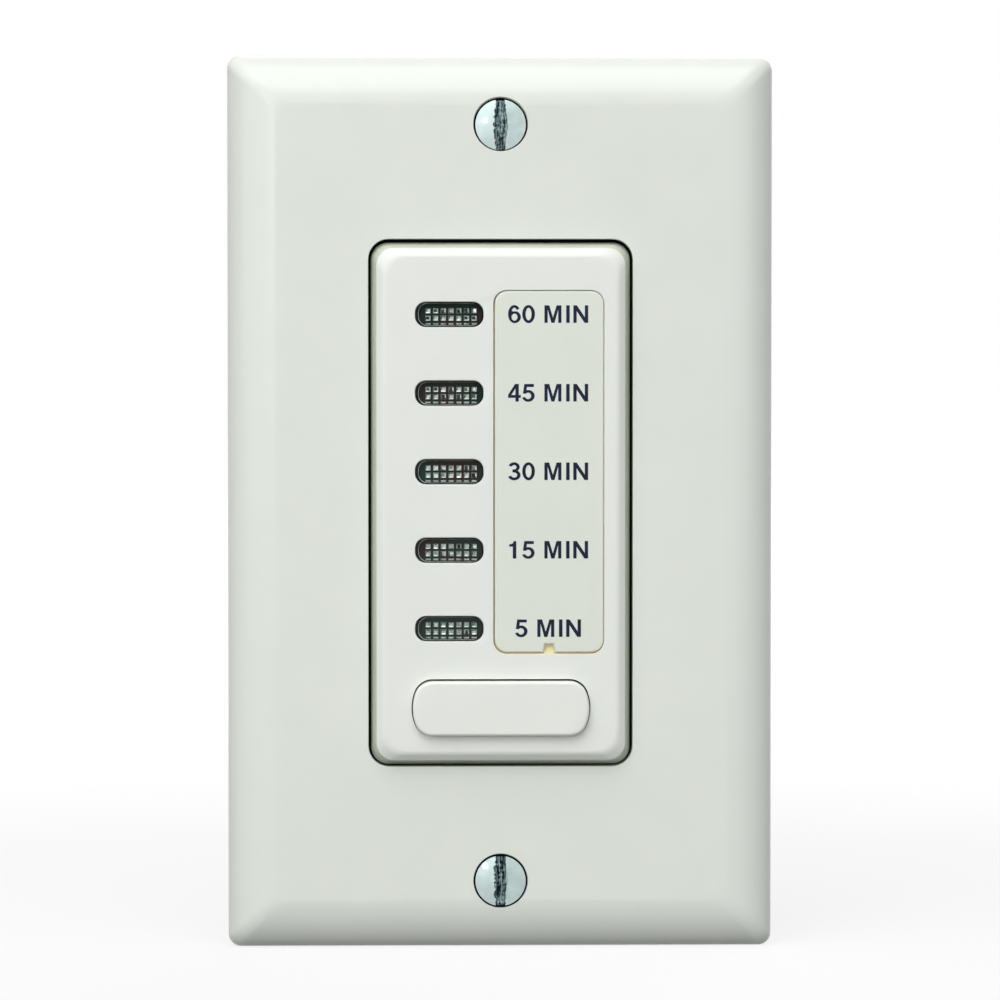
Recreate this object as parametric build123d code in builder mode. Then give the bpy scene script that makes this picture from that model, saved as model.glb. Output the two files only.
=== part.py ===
from build123d import *
from math import radians, tan
import os

# Timer light switch: a bevelled wall plate over a boxed timer, whose raised front has a row of
# five indicator windows, a strip for the time legends and one wide push button.
# Lengths are in millimetres. The origin is on the wall plane at the plate's centre, with +X to the
# right, +Y into the wall and +Z up. A level is a height in front of the wall plane, so whatever
# lies inside the wall box has a negative level.

os.makedirs("parts", exist_ok=True)

# Clearances shared by all pieces
seat_gap = 0.05  # between faces that rest on each other
slip_gap = 0.15  # between loose neighbours
thread_gap = 0.05  # between a thread's crest and its hole
overrun = 1.0  # how far a cut runs past what it cuts

# Wall plate: the fields round its opening make it the standard single-gang 69.85 by 114.3
plate_side_field = 18.125
plate_screw_edge = 8.73125  # from a plate screw's axis to the plate's end
plate_corner_radius = 1.6
plate_flat_radius = 2.8
plate_front = 5.6
plate_rim = 1.3
plate_bevel = 6.5
plate_wall = 2.2
plate_bevel_shares = (
    (0.0, 0.0), (0.04, 0.26), (0.12, 0.46), (0.26, 0.66), (0.48, 0.84), (0.74, 0.95), (1.0, 1.0),
)
plate_pocket_share = 0.85
opening_corner_radius = 2.6
opening_edge_radius = 0.35
opening_rib = 1.2

# Screws that hold the plate (6-32 oval head) and the strap (6-32 pan head)
screw_head_gap = 0.346875  # between a box screw's head and the boss beside it
retainer_gap = 3.171875  # between the rear housing's end and a retainer
screw_radius = 1.75
screw_chamfer = 0.5
countersink_angle = 82
countersink_radius = 3.5
plate_screw_head_radius = 3.3
plate_screw_crown = 0.45
plate_screw_length = 11.0
plate_screw_slot_width = 1.25
plate_screw_slot_depth = 1.0
plate_boss_radius = 3.2
box_screw_head_radius = 3.2
box_screw_head_height = 1.6
box_screw_head_crown = 0.5
box_screw_slot_width = 1.1
box_screw_slot_depth = 0.8
box_screw_neck_radius = 1.5
box_screw_length = 22.0
retainer_size = 9.0
retainer_thickness = 0.8
retainer_corner_radius = 1.0

# Mounting strap with its break-off ears and the bent ground tab
strap_thickness = 1.3
strap_body_margin = 1.5
strap_plate_gap = 1.75
strap_corner_radius = 2.0
strap_window_side_margin = 0.75
strap_window_end_margin = 0.45
strap_window_radius = 1.0
tongue_width = 24.0
ear_height = 9.0
ear_slot = 0.6
ear_bridge = 1.2
ear_hole_radius = 1.9
box_slot_length = 8.6
box_slot_width = 4.0
ground_tab_width = 6.4
ground_tab_reach = 2.3
ground_tab_depth = 9.0
ground_tab_gap = 2.6
ground_screw_radius = 1.6
ground_head_radius = 3.1
ground_head_height = 2.4
ground_flange_height = 0.7
ground_hex_radius = 2.7
ground_screw_length = 6.4
ground_slot_width = 0.9
ground_slot_depth = 0.8

# Front cover
cover_gap = 0.45
cover_front = 7.6
cover_wall = 1.6
cover_corner_radius = 2.2
cover_flat_radius = 3.2
cover_edge_width = 2.1
cover_edge_height = 2.3
cover_edge_shares = (
    (0.0, 0.0), (0.07, 0.30), (0.18, 0.55), (0.36, 0.78), (0.62, 0.93), (1.0, 1.0),
)
cover_inner_radius = 1.0
cover_flange_margin = 1.4
cover_flange_thickness = 1.2
cover_boss_radius = 1.9
cover_boss_side_margin = 1.75
cover_boss_top_margin = 2.35
cover_boss_button_gap = 2.3

# Label strip and its pry notch
label_width = 13.9
label_height = 46.1
label_top_margin = 6.04  # from the cover's top edge to the strip
label_side_margin = 3.25
label_button_gap = 3.51
label_radius = 1.6
label_pocket_depth = 0.85
label_thickness = 0.7
label_edge_radius = 0.15
label_peg_radius = 0.6
label_peg_length = 0.65
label_peg_margin = 6.05
notch_width = 1.43
notch_top_width = 1.05
notch_height = 1.07

# Indicator windows
window_names = ("60", "45", "30", "15", "5")
window_width = 8.7
window_height = 3.2
window_radius = 1.37
window_side_margin = 5.43  # from the cover's left edge to the windows
window_label_gap = 1.42
window_end_margin = 3.05  # from the strip's end to the middle of the end window
lens_sink = 0.1
lens_edge_radius = 0.25
lens_flange_margin = 0.6
lens_flange_thickness = 0.75
facet_size = 0.73
facet_pitch_x = 0.98
facet_pitch_z = 0.94
facet_height = 0.25
facet_columns = 7
facet_rows = 3

# Light baffle and indicators
baffle_wall = 0.9
baffle_end_margin = 2.1
baffle_cell_inset = 0.1
led_width = 3.2
led_height = 1.6
led_base = 0.5
led_top_width = 2.2
led_top_height = 1.3
led_top = 0.6
led_taper = 10  # degrees

# Push button
button_side_margin = 5.1
button_height = 7.0
button_bottom_margin = 3.65
button_end_sagitta = 2.4
button_corner_radius = 1.3
button_drop = 0.1
button_gap = 0.28
button_rise = 1.2
button_edge_radius = 0.55
button_flange_margin = 0.7
button_flange_thickness = 0.75
button_post_radius = 2.0
button_travel = 0.5

# Small switch under the button
tact_size = 6.0
tact_height = 3.5
tact_bore_radius = 1.8
tact_bore_floor = 0.3
tact_dome_radius = 1.6
tact_dome_height = button_travel  # the dome gives way by the button's travel
tact_dome_thickness = 0.12
dome_bend_share = 0.2
tact_plunger_radius = 1.72
tact_plunger_length = 3.45
tact_frame_thickness = 0.3
tact_frame_claw = 1.6

# Display board behind the strap
board_thickness = 1.6
display_board_level = -1.0
display_board_side_margin = 2.4
display_board_end_margin = 1.4
display_board_radius = 1.0
board_screw_hole_radius = 1.25
controller_length = 8.7
controller_width = 3.9
controller_height = 1.5
controller_stand = 0.15
controller_x = 8.2
controller_z = 7.0
controller_lead_pitch = 1.27
controller_leads = 7
controller_lead_width = 0.42
controller_lead_reach = 1.0
controller_lead_thickness = 0.2
resistor_length = 1.6
resistor_width = 0.8
resistor_height = 0.5
resistor_x = 1.6
header_width = 15.24
header_pins = 6
header_edge = 2.6
header_block_height = 2.5
header_block_depth = 2.5
header_pin_size = 0.64
header_hole_radius = 0.52
header_pin_end = 0.5

# Rear housing
housing_side_margin = 4.65  # from the cover's side to the housing's side
housing_end_margin = 0.85
housing_depth = 29.0
housing_wall = 1.6
housing_corner_radius = 2.0
housing_edge_radius = 0.8
post_radius = 2.8
post_bore_radius = 1.2
post_counterbore_radius = 2.1
post_seat_depth = 14.0
post_shoulder_radius = 3.8
vent_width = 1.2
vent_length = 10.0
vent_pitch = 3.2
vent_count = 5
vent_depth = 12.0

# Long screws through the housing posts
housing_screw_radius = 1.0
housing_screw_head_radius = 1.9
housing_screw_head_height = 1.4
housing_screw_slot_width = 0.6
housing_screw_slot_depth = 0.6
housing_screw_reach = 4.5  # level of the screw's tip inside the cover's boss

# Power board and what stands on it
power_board_depth = 20.0
power_board_gap = 0.4
power_board_radius = 1.0
lead_radius = 0.35
lead_hole_radius = 0.45
lead_end = 1.0
film_size_x = 7.5
film_size_z = 17.0
film_height = 12.5
film_radius = 0.6
film_place_shares = (0.52, -0.14)
film_lead_spacing = 12.5
can_radius = 4.0
can_height = 12.0
can_groove_radius = 0.35
can_groove_height = 1.6
can_edge_radius = 0.4
can_place_shares = (-0.27, 0.30)
can_lead_spacing = 3.5
varistor_radius = 4.5
varistor_thickness = 3.4
varistor_edge_radius = 0.9
varistor_stand = 0.8
varistor_place_shares = (0.20, 0.36)
varistor_lead_spacing = 5.0
bridge_size_x = 8.2
bridge_size_z = 6.3
bridge_height = 3.2
bridge_radius = 0.3
bridge_place_shares = (-0.32, -0.845)
bridge_lead_spacing_x = 5.1
bridge_lead_spacing_z = 7.6
resistor_body_radius = 1.75
resistor_body_length = 10.0
resistor_stand = 0.6
power_resistor_place_shares = (0.30, -0.80)
power_resistor_lead_spacing = 13.0

# Relay on the power board: its own heights are counted from the board's front
relay_place_shares = (-0.12, -0.235)
relay_width = 15.6
relay_length = 19.6
relay_height = 15.0
relay_wall = 0.8
relay_corner_radius = 0.8
relay_base_height = 1.6
yoke_thickness = 1.2
yoke_width = 8.0
yoke_foot_reach = 2.1
yoke_bobbin_gap = 1.1
yoke_gap = 0.15
bobbin_size = 8.0
bobbin_flange = 0.8
bobbin_radius = 2.2
bobbin_bore_radius = 1.5
winding_radius = 3.7
core_radius = 1.4
core_cap_radius = 2.8
core_cap_height = 0.5
armature_level = 11.9
armature_thickness = 1.0
armature_width = 8.0
armature_contact_gap = 0.4
armature_gap = 0.6
blade_thickness = 0.2
blade_width = 3.6
blade_yoke_gap = 1.0
blade_end_gap = 0.6  # between the blade's free end and the case
contact_end_margin = 0.8
contact_bobbin_gap = 0.2
contact_radius = 0.9
moving_contact_height = 0.7
fixed_contact_height = 0.5
contact_gap = 0.85
fixed_blade_thickness = 0.6
fixed_blade_width = 5.0

# Fibre sheet on the floor of the housing
sheet_thickness = 0.4
sheet_margin = 1.0
sheet_radius = 1.5

# Screw terminals in the side pockets
terminal_high_z = 14.0
terminal_low_z = -4.0
pocket_height = 11.0
pocket_start = 6.2  # depth behind the wall plane at which a pocket starts
pocket_end = 17.6
pocket_inset = 3.8
pocket_wall = 1.6
terminal_thickness = 1.0
terminal_height = 9.6
terminal_tail_height = 3.6
terminal_tail_end = 0.8
terminal_screw_radius = 1.7
terminal_head_radius = 3.2
terminal_head_height = 1.4
terminal_slot_width = 0.9
terminal_slot_depth = 0.7
terminal_screw_reach = 2.6  # from the pocket's floor to the screw's tip
clamp_size = 8.4
clamp_thickness = 1.0
clamp_gap = 0.3

# Sizes that follow from the front's layout, outwards from the cover to the plate
cover_width = window_side_margin + window_width + window_label_gap + label_width + label_side_margin
cover_height = (
    label_top_margin + label_height + label_button_gap + button_height + button_bottom_margin
)
opening_width = cover_width + 2 * cover_gap
opening_height = cover_height + 2 * cover_gap
housing_width = cover_width + 2 * housing_side_margin
housing_height = cover_height + 2 * housing_end_margin
box_screw_z = housing_height / 2 + retainer_gap + retainer_size / 2
plate_screw_z = box_screw_z + box_screw_head_radius + plate_boss_radius + screw_head_gap
plate_width = opening_width + 2 * plate_side_field
plate_height = 2 * (plate_screw_z + plate_screw_edge)
plate_screw_pitch = 2 * plate_screw_z
box_screw_pitch = 2 * box_screw_z
strap_width = housing_width
strap_body_height = housing_height + 2 * strap_body_margin
strap_height = plate_height - 2 * (plate_wall + strap_plate_gap)

# Levels and places that follow from the values above
plate_ceiling = plate_front - plate_wall
cover_flange_back = strap_thickness + seat_gap
cover_flange_front = cover_flange_back + cover_flange_thickness
cover_panel_back = cover_front - cover_wall
cover_inner_width = cover_width - 2 * cover_wall
cover_inner_height = cover_height - 2 * cover_wall
strap_window_width = cover_inner_width + 2 * strap_window_side_margin
strap_window_height = cover_inner_height + 2 * strap_window_end_margin
label_x = cover_width / 2 - label_side_margin - label_width / 2
label_z = cover_height / 2 - label_top_margin - label_height / 2
label_back = cover_front - label_pocket_depth + seat_gap
label_peg_distance = label_height - 2 * label_peg_margin
lens_front = cover_front - lens_sink
lens_flange_front = cover_panel_back - seat_gap
lens_flange_back = lens_flange_front - lens_flange_thickness
window_x = window_side_margin + window_width / 2 - cover_width / 2
window_pitch = (label_height - 2 * window_end_margin) / (len(window_names) - 1)
window_top_z = label_z + label_height / 2 - window_end_margin
window_zs = [window_top_z - i * window_pitch for i in range(len(window_names))]
baffle_front = lens_flange_back - seat_gap
baffle_back = display_board_level + seat_gap
display_board_back = display_board_level - board_thickness
button_width = cover_width - 2 * button_side_margin
button_z = button_bottom_margin + (button_height - cover_height) / 2
button_centre_z = button_z - button_drop
button_front = cover_front + button_rise
button_flange_front = cover_panel_back - seat_gap
button_flange_back = button_flange_front - button_flange_thickness
tact_back = display_board_level + seat_gap
tact_front = tact_back + tact_height
tact_floor = tact_back + tact_bore_floor
plunger_back = tact_floor + tact_dome_height + seat_gap
plunger_front = plunger_back + tact_plunger_length
housing_front = -seat_gap
housing_inner_width = housing_width - 2 * housing_wall
housing_inner_height = housing_height - 2 * housing_wall
housing_floor = housing_wall - housing_depth
display_board_width = housing_inner_width - 2 * display_board_side_margin
display_board_height = housing_inner_height - 2 * display_board_end_margin
header_z = display_board_height / 2 - header_edge
header_pitch = header_width / header_pins
power_board_level = -power_board_depth
power_board_back = power_board_level - board_thickness
component_level = power_board_level + seat_gap
power_board_width = housing_inner_width - 2 * power_board_gap
power_board_height = housing_inner_height - 2 * power_board_gap
cover_boss_x = cover_inner_width / 2 - cover_boss_side_margin
cover_boss_high_z = cover_inner_height / 2 - cover_boss_top_margin
cover_boss_low_z = button_z + button_height / 2 + cover_boss_button_gap
post_places = [
    (side * cover_boss_x, z) for side in (-1, 1) for z in (cover_boss_high_z, cover_boss_low_z)
]
terminal_places = {
    "line_terminal": (1, terminal_high_z),
    "load_terminal": (1, terminal_low_z),
    "neutral_terminal": (-1, terminal_high_z),
}
blade_end = relay_wall + blade_end_gap - relay_length / 2
contact_offset = blade_end + contact_end_margin
armature_end = contact_offset + contact_radius + armature_contact_gap
coil_offset = contact_offset + contact_radius + contact_bobbin_gap + bobbin_size / 2
yoke_start = coil_offset - yoke_foot_reach
yoke_inner = coil_offset + bobbin_size / 2 + yoke_bobbin_gap
blade_start = yoke_inner - blade_yoke_gap
ear_width = (strap_width - tongue_width) / 2 - ear_slot
ear_x = (strap_width - ear_width) / 2
ear_z = (strap_height - ear_height) / 2


def room(level):
    """Plane parallel to the wall: local x is right, local y is up and extrusion goes to the room."""
    return Plane.XZ.offset(level)


def across(x):
    """Plane square to the X axis: local x is into the wall, local y is up, extrusion goes to +X."""
    return Plane(origin=(x, 0, 0), x_dir=(0, 1, 0), z_dir=(1, 0, 0))


def on_board(shares):
    """Place on the power board, from its shares of the board's half width and half height."""
    return shares[0] * power_board_width / 2, shares[1] * power_board_height / 2


def crowned(width, height, back, front, edge_width, edge_height, radii, shares):
    """Upright rounded block whose front edge curves in, its corners opening from radii[0] to radii[1]."""
    with BuildPart() as block:
        with BuildSketch(room(back)):
            RectangleRounded(width, height, radii[0])
        extrude(amount=front - edge_height - back)
        for inset_share, rise_share in shares:
            inset = edge_width * inset_share
            with BuildSketch(room(front - edge_height * (1 - rise_share))):
                RectangleRounded(width - 2 * inset, height - 2 * inset,
                                 radii[0] + (radii[1] - radii[0]) * inset_share)
        loft()
    return block.part


def button_outline(width, height, sagitta, corner_radius):
    """Bar with flat top and bottom and arched ends, its corners softened."""
    with BuildSketch() as outline:
        with BuildLine():
            shoulder = width / 2 - sagitta
            Line((-shoulder, height / 2), (shoulder, height / 2))
            ThreePointArc((shoulder, height / 2), (width / 2, 0), (shoulder, -height / 2))
            Line((shoulder, -height / 2), (-shoulder, -height / 2))
            ThreePointArc((-shoulder, -height / 2), (-width / 2, 0), (-shoulder, height / 2))
        make_face()
        fillet(outline.vertices(), corner_radius)
    return outline.sketch


def slot_cut(centre_x, centre_z, level, width, length, depth):
    """Block that cuts a screwdriver slot upright into a head whose top is at the level."""
    with BuildPart() as cutter:
        with BuildSketch(room(level - depth)):
            with Locations((centre_x, centre_z)):
                Rectangle(width, length)
        extrude(amount=depth + overrun)
    return cutter.part


def turned(outline, x, z):
    """Piece turned about the line through (x, z) square to the wall: (radius, level) points."""
    with BuildPart() as piece:
        with BuildSketch(Plane.XY.offset(z)):
            with BuildLine():
                Polyline(*[(x + radius, -level) for radius, level in outline], close=True)
            make_face()
        revolve(axis=Axis((x, 0, z), (0, 1, 0)))
    return piece.part


def save(piece, name):
    """Label the finished piece and write it as one STEP file."""
    piece.part.label = name
    export_step(piece.part, f"parts/{name}.step")


# Wall plate: lofted bevel over an upright rim, hollow behind
with BuildPart() as wall_plate:
    add(crowned(plate_width, plate_height, 0, plate_front, plate_bevel, plate_front - plate_rim,
                (plate_corner_radius, plate_flat_radius), plate_bevel_shares))
    pocket_inset_top = plate_bevel * plate_pocket_share
    for inset, level in ((plate_wall, 0), (plate_wall, plate_rim), (pocket_inset_top, plate_ceiling)):
        with BuildSketch(room(level)):
            RectangleRounded(plate_width - 2 * inset, plate_height - 2 * inset, plate_corner_radius)
    loft(ruled=True, mode=Mode.SUBTRACT)
    rib_width = opening_width + 2 * opening_rib
    rib_height = opening_height + 2 * opening_rib
    rib_back = cover_flange_front + slip_gap
    with BuildSketch(room(rib_back)):
        RectangleRounded(rib_width, rib_height, opening_corner_radius + opening_rib)
    extrude(amount=plate_front - plate_wall / 2 - rib_back)
    with BuildSketch(room(strap_thickness + slip_gap)):
        with GridLocations(plate_screw_pitch, plate_screw_pitch, 1, 2):
            Circle(plate_boss_radius)
    extrude(amount=plate_front - plate_wall / 2 - strap_thickness - slip_gap)
    with BuildSketch(room(0)):
        RectangleRounded(opening_width, opening_height, opening_corner_radius)
    extrude(amount=plate_front + overrun, mode=Mode.SUBTRACT)
    front_face = wall_plate.faces().sort_by(Axis.Y)[0]
    fillet(front_face.inner_wires()[0].edges(), opening_edge_radius)
    with Locations(room(plate_front)):
        with GridLocations(plate_screw_pitch, plate_screw_pitch, 1, 2):
            CounterSinkHole(screw_radius + slip_gap, countersink_radius, None, countersink_angle)
save(wall_plate, "wall_plate")

# Oval-head screws of the plate
cone_slope = tan(radians(countersink_angle / 2))
cone_rise = (plate_screw_head_radius - screw_radius) / cone_slope
plate_screw_rim = plate_front - (countersink_radius - plate_screw_head_radius) / cone_slope
with BuildPart() as plate_screws:
    for z in (-plate_screw_z, plate_screw_z):
        with BuildSketch(Plane.XY.offset(z)):
            with BuildLine():
                rim = (plate_screw_head_radius, -plate_screw_rim)
                tip_y = plate_screw_length - plate_screw_rim
                ThreePointArc(
                    (0, -plate_screw_rim - plate_screw_crown),
                    (plate_screw_head_radius / 2, -plate_screw_rim - plate_screw_crown * 0.75),
                    rim,
                )
                Polyline(
                    rim,
                    (screw_radius, cone_rise - plate_screw_rim),
                    (screw_radius, tip_y - screw_chamfer),
                    (screw_radius - screw_chamfer, tip_y),
                    (0, tip_y),
                    (0, -plate_screw_rim - plate_screw_crown),
                )
            make_face()
        revolve(axis=Axis((0, 0, z), (0, 1, 0)))
        crown = plate_screw_rim + plate_screw_crown
        length = 2 * plate_screw_head_radius + overrun
        add(slot_cut(0, z, crown, plate_screw_slot_width, length, plate_screw_slot_depth),
            mode=Mode.SUBTRACT)
save(plate_screws, "plate_screws")

# Mounting strap: stamped outline, break-off ears, and a ground tab bent back from the lower tongue
with BuildPart() as mounting_strap:
    with BuildSketch(room(0)):
        RectangleRounded(strap_width, strap_body_height, strap_corner_radius)
        RectangleRounded(tongue_width, strap_height, strap_corner_radius)
        with GridLocations(2 * ear_x, 2 * ear_z, 2, 2):
            RectangleRounded(ear_width, ear_height, strap_corner_radius)
        for bridge_z in (ear_z - ear_height / 4, ear_z + ear_height / 4):
            with GridLocations(2 * bridge_z, 2 * bridge_z, 1, 2):
                Rectangle(tongue_width + 2 * ear_slot + 2 * ear_bridge, ear_bridge)
        RectangleRounded(strap_window_width, strap_window_height, strap_window_radius,
                         mode=Mode.SUBTRACT)
        with GridLocations(2 * ear_x, 2 * ear_z, 2, 2):
            Circle(ear_hole_radius, mode=Mode.SUBTRACT)
        with GridLocations(box_screw_pitch, box_screw_pitch, 1, 2):
            SlotOverall(box_slot_length, box_slot_width, mode=Mode.SUBTRACT)
        with GridLocations(plate_screw_pitch, plate_screw_pitch, 1, 2):
            Circle(screw_radius + thread_gap, mode=Mode.SUBTRACT)
    extrude(amount=strap_thickness)
    tab_outer = tongue_width / 2 + ground_tab_reach
    tab_z = -housing_height / 2 - ground_tab_gap - ground_tab_width / 2
    with BuildSketch(room(0)):
        with Locations((-tab_outer + (ground_tab_reach + overrun) / 2, tab_z)):
            Rectangle(ground_tab_reach + overrun, ground_tab_width)
    extrude(amount=strap_thickness)
    with BuildSketch(room(strap_thickness)):
        with Locations((-tab_outer + strap_thickness / 2, tab_z)):
            Rectangle(strap_thickness, ground_tab_width)
    extrude(amount=-strap_thickness - ground_tab_depth)
    tab_screw_depth = ground_tab_depth - ground_head_radius - slip_gap
    with BuildSketch(across(-tab_outer - overrun)):
        with Locations((tab_screw_depth, tab_z)):
            Circle(ground_screw_radius + thread_gap)
    extrude(amount=ground_tab_reach + 2 * overrun, mode=Mode.SUBTRACT)
save(mounting_strap, "mounting_strap")

# Pan-head screws of the strap, with a thinner neck where the retainer sits
retainer_back = -seat_gap - retainer_thickness
neck_end = retainer_back - slip_gap
head_back = strap_thickness + seat_gap
head_front = head_back + box_screw_head_height
with BuildPart() as box_screws:
    for z in (-box_screw_z, box_screw_z):
        outline = [
            (0, head_front),
            (box_screw_head_radius - box_screw_head_crown, head_front),
            (box_screw_head_radius, head_front - box_screw_head_crown),
            (box_screw_head_radius, head_back),
            (box_screw_neck_radius, head_back),
            (box_screw_neck_radius, neck_end),
            (screw_radius, neck_end),
            (screw_radius, -box_screw_length + screw_chamfer),
            (screw_radius - screw_chamfer, -box_screw_length),
            (0, -box_screw_length),
        ]
        add(turned(outline, 0, z))
        length = 2 * box_screw_head_radius + overrun
        add(slot_cut(0, z, head_front, box_screw_slot_width, length, box_screw_slot_depth),
            mode=Mode.SUBTRACT)
save(box_screws, "box_screws")

# Fibre squares that keep the box screws in the strap
with BuildPart() as screw_retainers:
    with BuildSketch(room(-seat_gap)):
        with GridLocations(box_screw_pitch, box_screw_pitch, 1, 2):
            RectangleRounded(retainer_size, retainer_size, retainer_corner_radius)
            Circle(box_screw_neck_radius + slip_gap, mode=Mode.SUBTRACT)
    extrude(amount=-retainer_thickness)
save(screw_retainers, "screw_retainers")

# Ground screw: slotted hexagon head with a flange, on the outer side of the ground tab
with BuildPart() as ground_screw:
    flange_x = -tab_outer - seat_gap
    with BuildSketch(across(flange_x)):
        with Locations((tab_screw_depth, tab_z)):
            Circle(ground_head_radius)
    extrude(amount=-ground_flange_height)
    with BuildSketch(across(flange_x)):
        with Locations((tab_screw_depth, tab_z)):
            RegularPolygon(ground_hex_radius, 6)
    extrude(amount=-ground_head_height)
    with BuildSketch(across(flange_x)):
        with Locations((tab_screw_depth, tab_z)):
            Circle(ground_screw_radius)
    extrude(amount=ground_screw_length)
    chamfer(ground_screw.edges().sort_by(Axis.X)[-1], screw_chamfer)
    with BuildSketch(across(flange_x - ground_head_height - overrun)):
        with Locations((tab_screw_depth, tab_z)):
            Rectangle(2 * ground_hex_radius + overrun, ground_slot_width)
    extrude(amount=overrun + ground_slot_depth, mode=Mode.SUBTRACT)
save(ground_screw, "ground_screw")

# Front cover: open-backed shell with a flange, screw bosses and the openings of its panel
with BuildPart() as front_cover:
    add(crowned(cover_width, cover_height, cover_flange_back, cover_front, cover_edge_width,
                cover_edge_height, (cover_corner_radius, cover_flat_radius), cover_edge_shares))
    with BuildSketch(room(cover_flange_back)):
        flange_width = cover_width + 2 * cover_flange_margin
        flange_height = cover_height + 2 * cover_flange_margin
        RectangleRounded(flange_width, flange_height, cover_corner_radius)
    extrude(amount=cover_flange_thickness)
    with BuildSketch(room(cover_flange_back)):
        RectangleRounded(cover_inner_width, cover_inner_height, cover_inner_radius)
    extrude(amount=cover_panel_back - cover_flange_back, mode=Mode.SUBTRACT)
    with BuildSketch(room(display_board_level + seat_gap)):
        with Locations(*post_places):
            Circle(cover_boss_radius)
    extrude(amount=cover_panel_back + cover_wall / 2 - display_board_level - seat_gap)
    with BuildSketch(room(display_board_level)):
        with Locations(*post_places):
            Circle(housing_screw_radius + thread_gap)
    extrude(amount=housing_screw_reach + slip_gap - display_board_level, mode=Mode.SUBTRACT)
    with BuildSketch(room(cover_front - label_pocket_depth)):
        with Locations((label_x, label_z)):
            RectangleRounded(label_width + 2 * slip_gap, label_height + 2 * slip_gap,
                             label_radius + slip_gap)
    extrude(amount=label_pocket_depth + overrun, mode=Mode.SUBTRACT)
    with BuildSketch(room(cover_panel_back - overrun)):
        with Locations((label_x, label_z)):
            with GridLocations(label_peg_distance, label_peg_distance, 1, 2):
                Circle(label_peg_radius + slip_gap)
    extrude(amount=cover_wall + 2 * overrun, mode=Mode.SUBTRACT)
    with BuildSketch(room(cover_panel_back - overrun)):
        with Locations(*[(window_x, z) for z in window_zs]):
            RectangleRounded(window_width, window_height, window_radius)
    extrude(amount=cover_wall + 2 * overrun, mode=Mode.SUBTRACT)
    with BuildSketch(room(cover_panel_back - overrun)):
        with Locations((0, button_z)):
            add(button_outline(button_width + 2 * button_gap, button_height + 2 * button_gap,
                               button_end_sagitta, button_corner_radius + button_gap))
    extrude(amount=cover_wall + 2 * overrun, mode=Mode.SUBTRACT)
save(front_cover, "front_cover")

# Label strip: near-flush panel with two pegs and a pry notch at its lower edge
with BuildPart() as label_strip:
    with BuildSketch(room(label_back)):
        with Locations((label_x, label_z)):
            RectangleRounded(label_width, label_height, label_radius)
    extrude(amount=label_thickness)
    fillet(label_strip.faces().sort_by(Axis.Y)[0].edges(), label_edge_radius)
    notch_base = label_z - label_height / 2
    with BuildSketch(room(label_back - overrun)):
        with BuildLine():
            Polyline(
                (label_x - notch_width / 2, notch_base - slip_gap),
                (label_x + notch_width / 2, notch_base - slip_gap),
                (label_x + notch_top_width / 2, notch_base + notch_height),
                (label_x - notch_top_width / 2, notch_base + notch_height),
                close=True,
            )
        make_face()
    extrude(amount=label_thickness + 2 * overrun, mode=Mode.SUBTRACT)
    with BuildSketch(room(label_back)):
        with Locations((label_x, label_z)):
            with GridLocations(label_peg_distance, label_peg_distance, 1, 2):
                Circle(label_peg_radius)
    extrude(amount=-label_peg_length)
save(label_strip, "label_strip")

# Window lenses: flange behind the panel and small square facets on the back
for window_name, window_z in zip(window_names, window_zs):
    with BuildPart() as lens:
        with BuildSketch(room(lens_flange_back)):
            with Locations((window_x, window_z)):
                RectangleRounded(window_width - slip_gap, window_height - slip_gap,
                                 window_radius - slip_gap / 2)
        extrude(amount=lens_front - lens_flange_back)
        fillet(lens.faces().sort_by(Axis.Y)[0].edges(), lens_edge_radius)
        with BuildSketch(room(lens_flange_back)):
            with Locations((window_x, window_z)):
                Rectangle(window_width + 2 * lens_flange_margin, window_height + lens_flange_margin)
        extrude(amount=lens_flange_thickness)
        with BuildSketch(room(lens_flange_back)):
            with Locations((window_x, window_z)):
                with GridLocations(facet_pitch_x, facet_pitch_z, facet_columns, facet_rows):
                    Rectangle(facet_size, facet_size)
        extrude(amount=-facet_height)
    save(lens, f"indicator_lens_{window_name}")

# Light baffle: one block with a light well behind each window
with BuildPart() as light_baffle:
    baffle_height = window_zs[0] - window_zs[-1] + 2 * baffle_end_margin
    with BuildSketch(room(baffle_back)):
        with Locations((window_x, label_z)):
            Rectangle(window_width + 2 * lens_flange_margin + 2 * baffle_wall, baffle_height)
        with Locations(*[(window_x, z) for z in window_zs]):
            Rectangle(window_width + 2 * baffle_cell_inset, window_height, mode=Mode.SUBTRACT)
    extrude(amount=baffle_front - baffle_back)
save(light_baffle, "light_baffle")

# Indicators on the display board, one under each light well
for window_name, window_z in zip(window_names, window_zs):
    with BuildPart() as led:
        with BuildSketch(room(display_board_level + seat_gap)):
            with Locations((window_x, window_z)):
                Rectangle(led_width, led_height)
        extrude(amount=led_base)
        with BuildSketch(room(display_board_level + seat_gap + led_base)):
            with Locations((window_x, window_z)):
                Rectangle(led_top_width, led_top_height)
        extrude(amount=led_top, taper=led_taper)
    save(led, f"led_{window_name}")

# Push button: cap through the panel, retaining flange behind it, post onto the small switch
with BuildPart() as push_button:
    post_back = plunger_front + seat_gap
    with BuildSketch(room(button_flange_back)):
        with Locations((0, button_centre_z)):
            add(button_outline(button_width, button_height, button_end_sagitta,
                               button_corner_radius))
    extrude(amount=button_front - button_flange_back)
    fillet(push_button.faces().sort_by(Axis.Y)[0].edges(), button_edge_radius)
    with BuildSketch(room(button_flange_back)):
        with Locations((0, button_centre_z)):
            add(button_outline(button_width + 2 * button_flange_margin,
                               button_height + 2 * button_flange_margin,
                               button_end_sagitta, button_corner_radius))
    extrude(amount=button_flange_thickness)
    with BuildSketch(room(post_back)):
        with Locations((0, button_z)):
            Circle(button_post_radius)
    extrude(amount=button_flange_back - post_back)
save(push_button, "push_button")

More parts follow.
